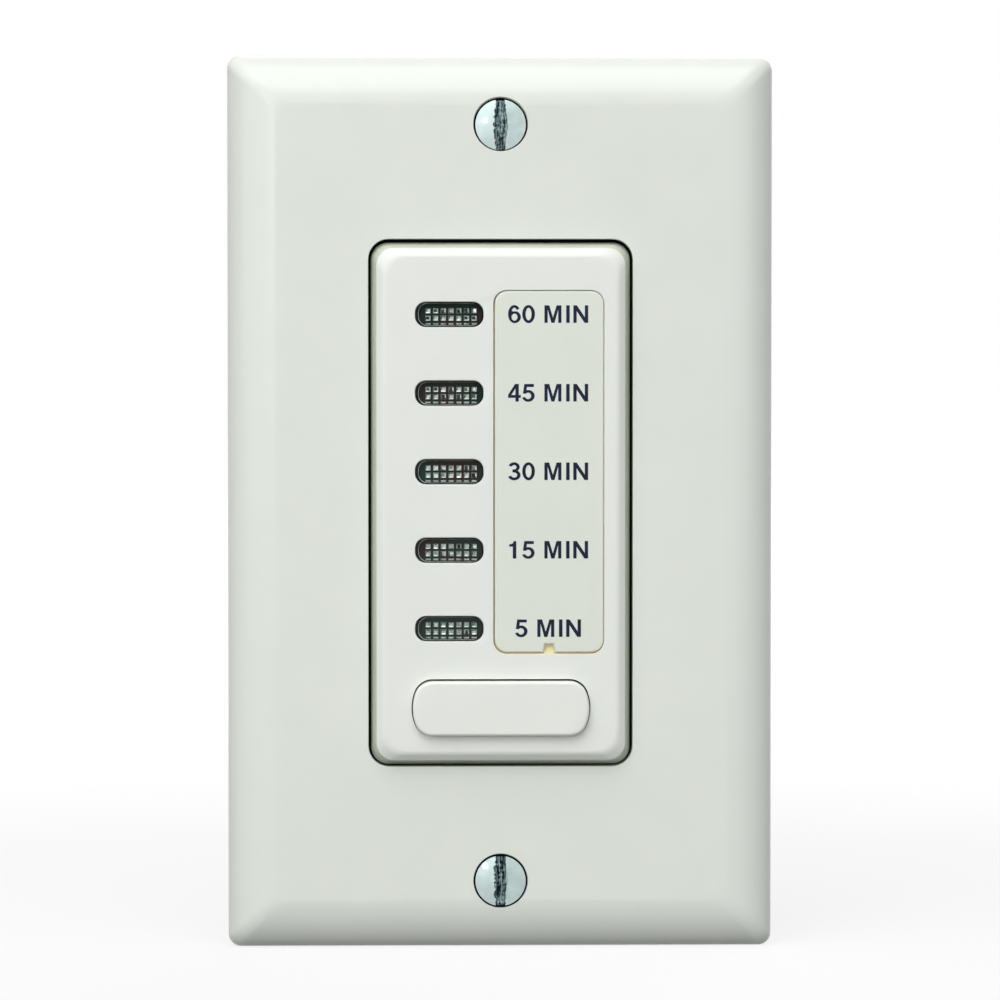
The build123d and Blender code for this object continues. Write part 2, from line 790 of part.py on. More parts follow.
# Small switch: body, snap dome, plunger and the metal frame that holds them
with BuildPart() as tact_switch_body:
    with BuildSketch(room(tact_back)):
        with Locations((0, button_z)):
            Rectangle(tact_size, tact_size)
    extrude(amount=tact_height)
    with BuildSketch(room(tact_floor)):
        with Locations((0, button_z)):
            Circle(tact_bore_radius)
    extrude(amount=tact_height, mode=Mode.SUBTRACT)
save(tact_switch_body, "tact_switch_body")

with BuildPart() as tact_switch_dome:
    dome_back = tact_floor + seat_gap
    dome_top = tact_floor + tact_dome_height
    dome_bend = dome_top - (dome_top - dome_back) * dome_bend_share
    outline = [
        (0, dome_top),
        (tact_dome_radius / 2, dome_bend),
        (tact_dome_radius, dome_back + tact_dome_thickness),
        (tact_dome_radius, dome_back),
        (tact_dome_radius - tact_dome_thickness, dome_back),
        (tact_dome_radius / 2, dome_bend - tact_dome_thickness),
        (0, dome_top - tact_dome_thickness),
    ]
    add(turned(outline, 0, button_z))
save(tact_switch_dome, "tact_switch_dome")

with BuildPart() as tact_switch_plunger:
    with BuildSketch(room(plunger_back)):
        with Locations((0, button_z)):
            Circle(tact_plunger_radius)
    extrude(amount=tact_plunger_length)
save(tact_switch_plunger, "tact_switch_plunger")

with BuildPart() as tact_switch_frame:
    with BuildSketch(room(tact_front + seat_gap)):
        with Locations((0, button_z)):
            Rectangle(tact_size + 2 * tact_frame_thickness, tact_size)
            Circle(tact_bore_radius, mode=Mode.SUBTRACT)
    extrude(amount=tact_frame_thickness)
    for side in (-1, 1):
        with BuildSketch(room(tact_front + seat_gap)):
            with Locations((side * (tact_size + tact_frame_thickness + 2 * seat_gap) / 2, button_z)):
                Rectangle(tact_frame_thickness, tact_size / 2)
        extrude(amount=-tact_frame_claw)
save(tact_switch_frame, "tact_switch_frame")

# Display board with the holes of its screws and of the pin header
with BuildPart() as display_board:
    with BuildSketch(room(display_board_back)):
        RectangleRounded(display_board_width, display_board_height, display_board_radius)
        with Locations(*post_places):
            Circle(board_screw_hole_radius, mode=Mode.SUBTRACT)
        with Locations((0, header_z)):
            with GridLocations(header_pitch, header_pitch, header_pins, 1):
                Circle(header_hole_radius, mode=Mode.SUBTRACT)
    extrude(amount=board_thickness)
save(display_board, "display_board")

# Timer chip with its two rows of leads
with BuildPart() as microcontroller:
    chip_back = display_board_level + seat_gap + controller_stand
    lead_level = chip_back + controller_height / 2
    lead_row = controller_width / 2 + controller_lead_reach / 2
    with BuildSketch(room(chip_back)):
        with Locations((controller_x, controller_z)):
            Rectangle(controller_width, controller_length)
    extrude(amount=controller_height)
    with BuildSketch(room(lead_level)):
        with Locations((controller_x, controller_z)):
            with GridLocations(controller_lead_pitch, controller_lead_pitch, 1, controller_leads):
                Rectangle(controller_width + controller_lead_reach, controller_lead_width)
    extrude(amount=controller_lead_thickness)
    with BuildSketch(room(display_board_level + seat_gap)):
        with Locations((controller_x, controller_z)):
            with GridLocations(2 * lead_row, controller_lead_pitch, 2, controller_leads):
                Rectangle(controller_lead_reach, controller_lead_width)
    extrude(amount=controller_lead_thickness)
    with BuildSketch(room(display_board_level + seat_gap)):
        with Locations((controller_x, controller_z)):
            with GridLocations(2 * lead_row - controller_lead_reach + controller_lead_thickness,
                               controller_lead_pitch, 2, controller_leads):
                Rectangle(controller_lead_thickness, controller_lead_width)
    extrude(amount=lead_level + controller_lead_thickness - display_board_level - seat_gap)
save(microcontroller, "microcontroller")

# Chip resistors, one beside each indicator
with BuildPart() as board_resistors:
    with BuildSketch(room(display_board_level + seat_gap)):
        with Locations(*[(resistor_x, z) for z in window_zs]):
            Rectangle(resistor_length, resistor_width)
    extrude(amount=resistor_height)
save(board_resistors, "board_resistors")

# Pin header between the boards: a spacer block at each board and six square pins
with BuildPart() as board_header:
    pins_front = display_board_level + header_pin_end
    pins_back = power_board_back - header_pin_end
    for block_front in (display_board_back - seat_gap, component_level + header_block_depth):
        with BuildSketch(room(block_front)):
            with Locations((0, header_z)):
                Rectangle(header_width, header_block_height)
        extrude(amount=-header_block_depth)
    with BuildSketch(room(pins_back)):
        with Locations((0, header_z)):
            with GridLocations(header_pitch, header_pitch, header_pins, 1):
                Rectangle(header_pin_size, header_pin_size)
    extrude(amount=pins_front - pins_back)
save(board_header, "board_header")

# Where the standing components stand, and where their leads pass through the power board
film_place = on_board(film_place_shares)
can_place = on_board(can_place_shares)
varistor_place = on_board(varistor_place_shares)
bridge_place = on_board(bridge_place_shares)
power_resistor_place = on_board(power_resistor_place_shares)
relay_place = on_board(relay_place_shares)
film_leads = [
    (film_place[0], film_place[1] + side * film_lead_spacing / 2) for side in (-1, 1)
]
can_leads = [(can_place[0] + side * can_lead_spacing / 2, can_place[1]) for side in (-1, 1)]
varistor_leads = [
    (varistor_place[0] + side * varistor_lead_spacing / 2, varistor_place[1]) for side in (-1, 1)
]
bridge_leads = [
    (bridge_place[0] + side * bridge_lead_spacing_x / 2, bridge_place[1] + row * bridge_lead_spacing_z / 2)
    for side in (-1, 1) for row in (-1, 1)
]
resistor_leads = [
    (power_resistor_place[0] + side * power_resistor_lead_spacing / 2, power_resistor_place[1])
    for side in (-1, 1)
]
lead_holes = film_leads + can_leads + varistor_leads + bridge_leads + resistor_leads
pocket_floor = housing_width / 2 - pocket_inset
tail_x = pocket_floor + seat_gap + terminal_thickness / 2
terminal_screw_tip = pocket_floor - terminal_screw_reach

# Power board: cleared round the housing posts, drilled for the leads and slotted for the terminals
with BuildPart() as power_board:
    with BuildSketch(room(power_board_back)):
        RectangleRounded(power_board_width, power_board_height, power_board_radius)
        with Locations(*post_places):
            Circle(post_radius + slip_gap, mode=Mode.SUBTRACT)
        with Locations(*lead_holes):
            Circle(lead_hole_radius, mode=Mode.SUBTRACT)
        with Locations((0, header_z)):
            with GridLocations(header_pitch, header_pitch, header_pins, 1):
                Circle(header_hole_radius, mode=Mode.SUBTRACT)
        with Locations(*[(side * tail_x, z) for side, z in terminal_places.values()]):
            Rectangle(terminal_thickness + 2 * slip_gap, terminal_tail_height + 2 * slip_gap,
                      mode=Mode.SUBTRACT)
    extrude(amount=board_thickness)
save(power_board, "power_board")


def leads_through_board(places, top_level):
    """Round leads from the level down through the power board."""
    with BuildPart() as leads:
        with BuildSketch(room(power_board_back - lead_end)):
            with Locations(*places):
                Circle(lead_radius)
        extrude(amount=top_level - power_board_back + lead_end)
    return leads.part


# Film capacitor: rounded block on two leads
with BuildPart() as film_capacitor:
    with BuildSketch(room(component_level)):
        with Locations(film_place):
            Rectangle(film_size_x, film_size_z)
    extrude(amount=film_height)
    fillet(film_capacitor.edges().filter_by(Axis.Y), film_radius)
    fillet(film_capacitor.faces().sort_by(Axis.Y)[0].edges(), film_radius)
    add(leads_through_board(film_leads, component_level + film_radius))
save(film_capacitor, "film_capacitor")

# Electrolytic capacitor: can with a crimp groove near its foot
with BuildPart() as electrolytic_capacitor:
    groove_level = component_level + can_groove_height
    with BuildSketch(room(component_level)):
        with Locations(can_place):
            Circle(can_radius)
    extrude(amount=can_height)
    fillet(electrolytic_capacitor.edges().sort_by(Axis.Y)[0], can_edge_radius)
    with BuildSketch(room(groove_level)):
        with Locations(can_place):
            Circle(can_radius + overrun)
            Circle(can_radius - can_groove_radius, mode=Mode.SUBTRACT)
    extrude(amount=2 * can_groove_radius, mode=Mode.SUBTRACT)
    add(leads_through_board(can_leads, component_level + can_groove_height))
save(electrolytic_capacitor, "electrolytic_capacitor")

# Varistor: a disc standing on edge
with BuildPart() as varistor:
    disc_level = component_level + varistor_stand + varistor_radius
    disc_plane = Plane(origin=(varistor_place[0], -disc_level, varistor_place[1] - varistor_thickness / 2),
                       x_dir=(1, 0, 0), z_dir=(0, 0, 1))
    with BuildSketch(disc_plane):
        Circle(varistor_radius)
    extrude(amount=varistor_thickness)
    fillet(varistor.edges(), varistor_edge_radius)
    add(leads_through_board(varistor_leads, disc_level))
save(varistor, "varistor")

# Bridge rectifier: flat block on four leads
with BuildPart() as bridge_rectifier:
    with BuildSketch(room(component_level + resistor_stand)):
        with Locations(bridge_place):
            Rectangle(bridge_size_x, bridge_size_z)
    extrude(amount=bridge_height)
    fillet(bridge_rectifier.edges().filter_by(Axis.Y), bridge_radius)
    for side in (-1, 1):
        lead_row_x = bridge_place[0] + side * bridge_lead_spacing_x / 2
        with BuildSketch(room(component_level + resistor_stand + bridge_height / 2)):
            with Locations((lead_row_x, bridge_place[1])):
                Rectangle(2 * lead_radius, bridge_lead_spacing_z + 2 * lead_radius)
        extrude(amount=lead_radius)
    add(leads_through_board(bridge_leads, component_level + resistor_stand + bridge_height / 2))
save(bridge_rectifier, "bridge_rectifier")

# Power resistor: a barrel lying along X between its two bent leads
with BuildPart() as power_resistor:
    barrel_level = component_level + resistor_stand + resistor_body_radius
    barrel_z = power_resistor_place[1]
    lead_span = power_resistor_lead_spacing + 2 * lead_radius
    with BuildSketch(across(power_resistor_place[0] - resistor_body_length / 2)):
        with Locations((-barrel_level, barrel_z)):
            Circle(resistor_body_radius)
    extrude(amount=resistor_body_length)
    with BuildSketch(across(power_resistor_place[0] - lead_span / 2)):
        with Locations((-barrel_level, barrel_z)):
            Circle(lead_radius)
    extrude(amount=lead_span)
    add(leads_through_board(resistor_leads, barrel_level))
save(power_resistor, "power_resistor")


def relay_room(height):
    """Plane parallel to the wall at a height above the power board's front."""
    return room(power_board_level + height)


def relay_block(back, front, offset_start, offset_end, width):
    """Block in the relay: heights back to front, offsets along Z from its centre, centred in X."""
    with BuildPart() as block:
        with BuildSketch(relay_room(back)):
            with Locations((relay_place[0], relay_place[1] + (offset_start + offset_end) / 2)):
                Rectangle(width, abs(offset_end - offset_start))
        extrude(amount=front - back)
    return block.part


# Relay case: a cap over the works, open towards the board
with BuildPart() as relay_case:
    with BuildSketch(relay_room(seat_gap)):
        with Locations(relay_place):
            RectangleRounded(relay_width, relay_length, relay_corner_radius)
    extrude(amount=relay_height - seat_gap)
    fillet(relay_case.faces().sort_by(Axis.Y)[0].edges(), relay_corner_radius / 2)
    with BuildSketch(relay_room(seat_gap)):
        with Locations(relay_place):
            Rectangle(relay_width - 2 * relay_wall, relay_length - 2 * relay_wall)
    extrude(amount=relay_height - relay_wall - seat_gap, mode=Mode.SUBTRACT)
save(relay_case, "relay_case")

# Relay base: a plate in the mouth of the case
with BuildPart() as relay_base:
    with BuildSketch(relay_room(seat_gap)):
        with Locations(relay_place):
            Rectangle(relay_width - 2 * relay_wall - 2 * seat_gap,
                      relay_length - 2 * relay_wall - 2 * seat_gap)
    extrude(amount=relay_base_height)
save(relay_base, "relay_base")

# Yoke: foot under the coil and an upright that carries the armature's edge
yoke_foot_back = relay_base_height + 2 * seat_gap
yoke_foot_front = yoke_foot_back + yoke_thickness
yoke_outer = yoke_inner + yoke_thickness
with BuildPart() as relay_yoke:
    add(relay_block(yoke_foot_back, yoke_foot_front, yoke_start, yoke_outer, yoke_width))
    add(relay_block(yoke_foot_back, armature_level - yoke_gap, yoke_inner, yoke_outer, yoke_width))
save(relay_yoke, "relay_yoke")

# Coil: core with its pole cap, bobbin with two flanges, and the winding between them
coil_place = (relay_place[0], relay_place[1] + coil_offset)
cap_front = armature_level - armature_gap
bobbin_back = yoke_foot_front + seat_gap
bobbin_front = cap_front - core_cap_height - seat_gap
with BuildPart() as relay_core:
    with BuildSketch(relay_room(yoke_foot_front + seat_gap)):
        with Locations(coil_place):
            Circle(core_radius)
    extrude(amount=cap_front - yoke_foot_front - seat_gap)
    with BuildSketch(relay_room(cap_front - core_cap_height)):
        with Locations(coil_place):
            Circle(core_cap_radius)
    extrude(amount=core_cap_height)
save(relay_core, "relay_core")

with BuildPart() as relay_bobbin:
    for flange_back in (bobbin_back, bobbin_front - bobbin_flange):
        with BuildSketch(relay_room(flange_back)):
            with Locations(coil_place):
                Rectangle(bobbin_size, bobbin_size)
        extrude(amount=bobbin_flange)
    with BuildSketch(relay_room(bobbin_back)):
        with Locations(coil_place):
            Circle(bobbin_radius)
    extrude(amount=bobbin_front - bobbin_back)
    with BuildSketch(relay_room(bobbin_back)):
        with Locations(coil_place):
            Circle(bobbin_bore_radius)
    extrude(amount=bobbin_front - bobbin_back, mode=Mode.SUBTRACT)
save(relay_bobbin, "relay_bobbin")

with BuildPart() as relay_winding:
    with BuildSketch(relay_room(bobbin_back + bobbin_flange + seat_gap)):
        with Locations(coil_place):
            Circle(winding_radius)
            Circle(bobbin_radius + seat_gap, mode=Mode.SUBTRACT)
    extrude(amount=bobbin_front - bobbin_back - 2 * bobbin_flange - 2 * seat_gap)
save(relay_winding, "relay_winding")

# Armature: a plate over the pole, tipping on the yoke's upper edge
armature_front = armature_level + armature_thickness
with BuildPart() as relay_armature:
    add(relay_block(armature_level, armature_front, armature_end, yoke_outer, armature_width))
save(relay_armature, "relay_armature")

# Moving contact: a leaf on the armature with a contact at its free end
contact_place = (relay_place[0], relay_place[1] + contact_offset)
blade_back = armature_front + seat_gap
moving_contact_back = blade_back - moving_contact_height
with BuildPart() as relay_contact_blade:
    add(relay_block(blade_back, blade_back + blade_thickness, blade_start, blade_end, blade_width))
    with BuildSketch(relay_room(moving_contact_back)):
        with Locations(contact_place):
            Circle(contact_radius)
    extrude(amount=moving_contact_height)
save(relay_contact_blade, "relay_contact_blade")

# Fixed contact: a leaf standing on the base, bent under the moving contact
fixed_contact_front = moving_contact_back - contact_gap
shelf_front = fixed_contact_front - fixed_contact_height
shelf_back = shelf_front - fixed_blade_thickness
leaf_outer = -relay_length / 2 + relay_wall + slip_gap
with BuildPart() as relay_fixed_contact:
    add(relay_block(yoke_foot_back, shelf_front, leaf_outer, leaf_outer + fixed_blade_thickness,
                    fixed_blade_width))
    add(relay_block(shelf_back, shelf_front, leaf_outer, contact_offset + contact_radius,
                    fixed_blade_width))
    with BuildSketch(relay_room(shelf_back)):
        with Locations(contact_place):
            Circle(contact_radius)
    extrude(amount=fixed_contact_front - shelf_back)
save(relay_fixed_contact, "relay_fixed_contact")

# Fibre sheet on the housing's floor, under the power board
with BuildPart() as insulating_sheet:
    with BuildSketch(room(housing_floor + seat_gap)):
        RectangleRounded(housing_inner_width - 2 * sheet_margin,
                         housing_inner_height - 2 * sheet_margin, sheet_radius)
        with Locations(*post_places):
            Circle(post_shoulder_radius + slip_gap, mode=Mode.SUBTRACT)
    extrude(amount=sheet_thickness)
save(insulating_sheet, "insulating_sheet")

# Rear housing: deep box with four posts, three side pockets and slots for air
with BuildPart() as rear_housing:
    with BuildSketch(room(housing_front)):
        RectangleRounded(housing_width, housing_height, housing_corner_radius)
    extrude(amount=-housing_depth - housing_front)
    fillet(rear_housing.faces().sort_by(Axis.Y)[-1].edges(), housing_edge_radius)
    with BuildSketch(room(housing_front)):
        RectangleRounded(housing_inner_width, housing_inner_height,
                         housing_corner_radius - housing_wall / 2)
    extrude(amount=housing_floor - housing_front, mode=Mode.SUBTRACT)
    for side, z in terminal_places.values():
        block_inner = pocket_floor - pocket_wall
        block_width = housing_width / 2 - block_inner - housing_edge_radius
        block_height = pocket_height + 2 * pocket_wall
        with BuildSketch(room(pocket_wall - pocket_start)):
            with Locations((side * (block_inner + block_width / 2), z)):
                Rectangle(block_width, block_height)
        extrude(amount=pocket_start - pocket_end - 2 * pocket_wall)
        with BuildSketch(room(-pocket_start)):
            with Locations((side * (pocket_floor + (pocket_inset + overrun) / 2), z)):
                Rectangle(pocket_inset + overrun, pocket_height)
        extrude(amount=pocket_start - pocket_end, mode=Mode.SUBTRACT)
        with BuildSketch(room(-pocket_end + overrun)):
            with Locations((side * tail_x, z)):
                Rectangle(terminal_thickness + 2 * seat_gap, terminal_tail_height + 2 * seat_gap)
        extrude(amount=-pocket_wall - 2 * overrun, mode=Mode.SUBTRACT)
        with BuildSketch(across(side * (block_inner - overrun))):
            with Locations(((pocket_start + pocket_end) / 2, z)):
                Circle(terminal_screw_radius + slip_gap)
        extrude(amount=side * (pocket_wall + 2 * overrun), mode=Mode.SUBTRACT)
    with BuildSketch(room(display_board_back - seat_gap)):
        with Locations(*post_places):
            Circle(post_radius)
    extrude(amount=housing_floor - display_board_back)
    with BuildSketch(room(power_board_back - seat_gap)):
        with Locations(*post_places):
            Circle(post_shoulder_radius)
    extrude(amount=housing_floor - power_board_back)
    with BuildSketch(room(display_board_back)):
        with Locations(*post_places):
            Circle(post_bore_radius)
    extrude(amount=-housing_depth, mode=Mode.SUBTRACT)
    with BuildSketch(room(-post_seat_depth)):
        with Locations(*post_places):
            Circle(post_counterbore_radius)
    extrude(amount=post_seat_depth - housing_depth - overrun, mode=Mode.SUBTRACT)
    for end in (-1, 1):
        vent_plane = Plane(origin=(0, vent_depth, end * (housing_height / 2 - housing_wall - overrun)),
                           x_dir=(1, 0, 0), z_dir=(0, 0, end))
        with BuildSketch(vent_plane):
            with GridLocations(vent_pitch, vent_pitch, vent_count, 1):
                SlotOverall(vent_length, vent_width, rotation=90)
        extrude(amount=housing_wall + 2 * overrun, mode=Mode.SUBTRACT)
save(rear_housing, "rear_housing")

# Long screws: heads deep in the posts, tips in the cover's bosses
head_front_level = -post_seat_depth - seat_gap
head_back_level = head_front_level - housing_screw_head_height
with BuildPart() as housing_screws:
    for x, z in post_places:
        outline = [
            (0, housing_screw_reach),
            (housing_screw_radius - screw_chamfer, housing_screw_reach),
            (housing_screw_radius, housing_screw_reach - screw_chamfer),
            (housing_screw_radius, head_front_level),
            (housing_screw_head_radius, head_front_level),
            (housing_screw_head_radius, head_back_level),
            (0, head_back_level),
        ]
        add(turned(outline, x, z))
        with BuildSketch(room(head_back_level + housing_screw_slot_depth)):
            with Locations((x, z)):
                Rectangle(housing_screw_slot_width, 2 * housing_screw_head_radius + overrun)
        extrude(amount=-housing_screw_slot_depth - overrun, mode=Mode.SUBTRACT)
save(housing_screws, "housing_screws")

# Screw terminals: a brass plate on each pocket's floor with a tail through the power board
pocket_middle = (pocket_start + pocket_end) / 2
for terminal_name, (side, z) in terminal_places.items():
    with BuildPart() as terminal:
        with BuildSketch(across(side * (pocket_floor + seat_gap))):
            with Locations((pocket_middle, z)):
                Rectangle(pocket_end - pocket_start - 2 * slip_gap, terminal_height)
                Circle(terminal_screw_radius + thread_gap, mode=Mode.SUBTRACT)
            tail_end = power_board_depth + board_thickness + terminal_tail_end
            with Locations(((pocket_end - 2 * slip_gap + tail_end) / 2, z)):
                Rectangle(tail_end - pocket_end + 2 * slip_gap, terminal_tail_height)
        extrude(amount=side * terminal_thickness)
    save(terminal, terminal_name)

clamp_start = pocket_floor + seat_gap + terminal_thickness + clamp_gap
terminal_head_start = clamp_start + clamp_thickness + seat_gap
with BuildPart() as wire_clamps:
    for side, z in terminal_places.values():
        with BuildSketch(across(side * clamp_start)):
            with Locations((pocket_middle, z)):
                Rectangle(clamp_size, clamp_size)
                Circle(terminal_screw_radius + slip_gap, mode=Mode.SUBTRACT)
        extrude(amount=side * clamp_thickness)
save(wire_clamps, "wire_clamps")

with BuildPart() as terminal_screws:
    for side, z in terminal_places.values():
        with BuildSketch(across(side * terminal_screw_tip)):
            with Locations((pocket_middle, z)):
                Circle(terminal_screw_radius)
        extrude(amount=side * (terminal_head_start - terminal_screw_tip))
        with BuildSketch(across(side * terminal_head_start)):
            with Locations((pocket_middle, z)):
                Circle(terminal_head_radius)
        extrude(amount=side * terminal_head_height)
        with BuildSketch(across(side * (terminal_head_start + terminal_head_height))):
            with Locations((pocket_middle, z)):
                Rectangle(terminal_slot_width, 2 * terminal_head_radius + overrun)
        extrude(amount=-side * terminal_slot_depth, mode=Mode.SUBTRACT)
save(terminal_screws, "terminal_screws")
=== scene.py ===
import math
import random

import bmesh
import bpy
from mathutils import Matrix, Vector, noise


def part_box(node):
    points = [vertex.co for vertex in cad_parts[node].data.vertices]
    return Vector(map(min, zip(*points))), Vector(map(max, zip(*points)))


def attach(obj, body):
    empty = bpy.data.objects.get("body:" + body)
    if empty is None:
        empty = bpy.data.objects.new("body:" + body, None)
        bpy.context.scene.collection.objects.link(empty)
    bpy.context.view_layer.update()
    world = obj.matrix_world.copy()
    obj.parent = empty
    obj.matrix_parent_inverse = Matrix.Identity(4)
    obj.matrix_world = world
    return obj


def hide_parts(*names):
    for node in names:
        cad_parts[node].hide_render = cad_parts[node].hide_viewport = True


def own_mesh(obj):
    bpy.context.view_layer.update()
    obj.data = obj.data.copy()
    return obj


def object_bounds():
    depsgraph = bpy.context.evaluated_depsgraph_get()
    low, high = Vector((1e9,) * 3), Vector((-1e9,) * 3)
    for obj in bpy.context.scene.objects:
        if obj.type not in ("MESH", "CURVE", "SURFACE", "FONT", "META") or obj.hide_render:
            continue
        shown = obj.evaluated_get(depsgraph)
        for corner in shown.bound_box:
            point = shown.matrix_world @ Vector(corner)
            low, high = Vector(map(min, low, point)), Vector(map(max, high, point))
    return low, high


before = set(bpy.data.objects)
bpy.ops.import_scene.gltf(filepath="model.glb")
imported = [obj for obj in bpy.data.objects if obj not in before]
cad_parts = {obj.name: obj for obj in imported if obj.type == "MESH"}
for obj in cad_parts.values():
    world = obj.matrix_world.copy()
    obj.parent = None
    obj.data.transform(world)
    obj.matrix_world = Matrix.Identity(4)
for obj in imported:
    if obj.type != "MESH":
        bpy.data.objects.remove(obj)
cad_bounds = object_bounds()

# Lengths are in millimetres until a finished mesh is scaled to metres. A level is a height in front
# of the wall plane, so a point at (x, z) on a level lies at (x, -level, z).
mm = 0.001
random.seed(7)


def corners(node):
    """Lowest and highest corner of a CAD node, in millimetres."""
    low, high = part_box(node)
    return low / mm, high / mm


def middle(node):
    """Middle of a CAD node as seen from the front, in millimetres."""
    low, high = corners(node)
    return (low.x + high.x) / 2, (low.z + high.z) / 2


# Sizes that the CAD nodes give
plate_low, plate_high = corners("wall_plate")
plate_width = plate_high.x - plate_low.x
plate_height = plate_high.z - plate_low.z
plate_front = -plate_low.y
cover_low, cover_high = corners("front_cover")
label_low, label_high = corners("label_strip")
button_low, button_high = corners("push_button")
screw_low, screw_high = corners("plate_screws")
screw_cad_radius = (screw_high.x - screw_low.x) / 2
strap_front = -corners("mounting_strap")[0].y

# Wall plate
plate_corner_radius = 1.6
plate_flat_radius = 1.0
plate_rim = 1.3
plate_bevel = 6.5
plate_wall = 2.2
plate_ceiling = plate_front - plate_wall
plate_pocket_share = 0.85
plate_pocket_inset = plate_pocket_share * plate_bevel
bevel_turn = math.radians(83)
bevel_steps = 18
opening_corner_radius = 2.6
opening_edge_radius = 0.14
opening_rib = 1.2
rib_back = 2.7
boss_radius = 3.2
boss_back = 1.45
screw_hole_radius = 1.9
countersink_radius = 3.5
countersink_angle = math.radians(82)
countersink_lit_depth = 0.45
# Width of the painted shade ring between a plate screw's head and its countersink
countersink_painted_shade_margin = 0.22

# Front cover
cover_flange_margin = 1.4
cover_flange_gap = 0.05
cover_flange_back = strap_front + cover_flange_gap
cover_flange_thickness = 1.2
cover_gap = 0.53
cover_drop = 0.12
cover_base_spread = 0.2
cover_wall_start = 4.1
cover_front = 7.6
cover_wall = 1.6
cover_inner_radius = 1.0
cover_width = cover_high.x - cover_low.x - 2 * cover_flange_margin
cover_height = cover_high.z - cover_low.z - 2 * cover_flange_margin
cover_corner_radius = 2.2
cover_flat_radius = 2.9
cover_draft = 0.52
cover_edge_inset = 1.8
cover_edge_round = 1.05
cover_edge_slope = math.radians(42)
cover_edge_steps = 10
cover_lip = 0.14
opening_width = cover_width + 2 * cover_gap
opening_height = cover_height + 2 * cover_gap

# Label strip
label_width = label_high.x - label_low.x
label_height = label_high.z - label_low.z
label_x, label_z = middle("label_strip")
label_front = -label_low.y
label_thickness = 0.7
label_back = label_front - label_thickness
label_radius = 1.6
label_corner_steps = 10
label_edge = 0.26
label_edge_steps = 4
label_gap_wide = 0.17
label_gap_narrow = 0.05
label_pocket_depth = 0.85
notch_width = 1.43
notch_top_width = 1.05
notch_height = 1.07

# Time legends; widths and gaps of letters are shares of the cap height
cap_height = 2.23
ink_height = 0.02
ink_sink = 0.02
legend_x = 6.0
legend_rise = 0.06
digit_width = 0.727
digit_gap = 0.08
word_gap = 0.46

# Windows and their lenses; a pip is one small cup on a lens floor
window_names = ("60", "45", "30", "15", "5")
window_width = 8.7
window_height = 3.2
window_radius = 1.37
lens_drop = 0.1
lens_front = cover_front - lens_drop
lens_slack = 0.08
lens_edge = 0.1
lens_border = 0.14
lens_shift = 0.16
# Width and depth of the painted highlight ring inside a lens border
lens_painted_highlight = 0.07
lens_painted_highlight_depth = 0.12
lens_well_step = 0.05
lens_floor = 6.55
lens_back = 5.2
lens_crease = 20
pip_columns = 7
pip_rows = 3
pip_pitch_x = 0.98
pip_pitch_z = 0.94
pip_shift_x = 0.24
pip_shift_z = -0.47
pip_size = 0.72
pip_rim = 0.07
pip_rise = 0.35
pip_taper = 0.06
pip_pit = 0.065
pip_pit_half = 0.17
pip_lean = 0.03
pip_apex_x = (-0.1, 0.0)
pip_apex_z = (-0.03, 0.09)

# Push button
button_flange_margin = 0.7
button_width = button_high.x - button_low.x - 2 * button_flange_margin
button_height = button_high.z - button_low.z - 2 * button_flange_margin
button_z = middle("push_button")[1]
button_front = -button_low.y
button_sagitta = 1.2
button_corner_radius = 2.3
button_end_steps = 14
button_edge = 0.45
button_edge_steps = 7
button_gap = 0.14
button_lip = 0.06
button_flange_back = 5.2
button_flange_front = 5.95
button_hole_rise = 0.08
button_hole_z = button_z + button_hole_rise

# Snap dome of the small switch below the button
dome_sheet = 0.12
dome_steps = 8

# Plate screws; a slot's ragged walls and floor follow a noise
screw_head_radius = 3.22
screw_rim = 0.12
screw_crown = 0.42
screw_head_steps = 14
screw_seat = 0.05
screw_rim_level = -screw_low.y - screw_crown - screw_seat
screw_z = (screw_high.z - screw_low.z) / 2 - screw_cad_radius
screw_drops = {-1: 0.05, 1: 0.14}
screw_tip_level = -screw_high.y
screw_tip_share = 0.6
screw_slot_width = 1.25
screw_slot_mouth = 1.8
screw_slot_depth = 0.62
slot_shoulder_depth = 0.25
slot_cutter_rise = 0.6
slot_sections = 90
slot_noise_cells = 3.1
slot_wobble_x = 0.17
slot_wobble_level = 0.2

# Box screws
box_head_height = 1.75
box_head_dome = 0.55
box_head_steps = 6
box_slot_width = 0.9
box_slot_depth = 0.9
box_slot_reach = 4
box_tip_share = 0.7

# Threads of both kinds of screw
thread_radius = 1.75
thread_depth = 0.42
thread_pitch = 25.4 / 32
thread_rings_per_turn = 6
thread_end_share = 0.2
thread_tip_length = 0.5
turn_steps = 72

# How far a cutting block reaches past its piece, and the angles in degrees at which edges stay sharp
cutter_margin = 1
soft_crease = 32
cut_crease = 30

# Surfaces
grain_detail = 3
coat_roughness = 0.06
white = (1, 1, 1, 1)

# Floor, in metres: its grey paint, and its glow near the object and far from it, with both distances
floor_half_side = 3.0
floor_grey = (0.18, 0.18, 0.18, 1)
floor_glow_strength = (0.8, 1.0)
floor_glow_distance = (0.15, 0.5)

# Surroundings: strength of their diffuse light, and of their mirror image on the camera's side
world_ambient = 0.175
front_gloss = 0.12
gloss_fade = (-0.6, 0.2)

# Lamps: name, place and side in metres, and how bright a white face becomes that is turned to it
lamps = (
    ("key", (-0.1, -0.72, 1.05), 1.1, 0.62),
    ("left", (-0.85, -1.25, 0.45), 1.9, 0.67),
    ("right", (0.8, -1.15, 0.3), 1.0, 0.175),
    ("glint", (-0.375, -1.23, 0.203), 0.14, 0.04),
    ("back", (0.5, 1.2, 0.7), 1.2, 0.35),
)

# Camera, the point that it looks at, and its own place from there
camera_lens = 181.8
camera_sensor = 36
camera_target = Vector((-0.08, -plate_front, 0.4))
camera_offset = Vector((-15, -644.2, 22.5))


# Meshes

def blend_value(start, end, share):
    """Value a share of the way from start to end."""
    return start + (end - start) * share


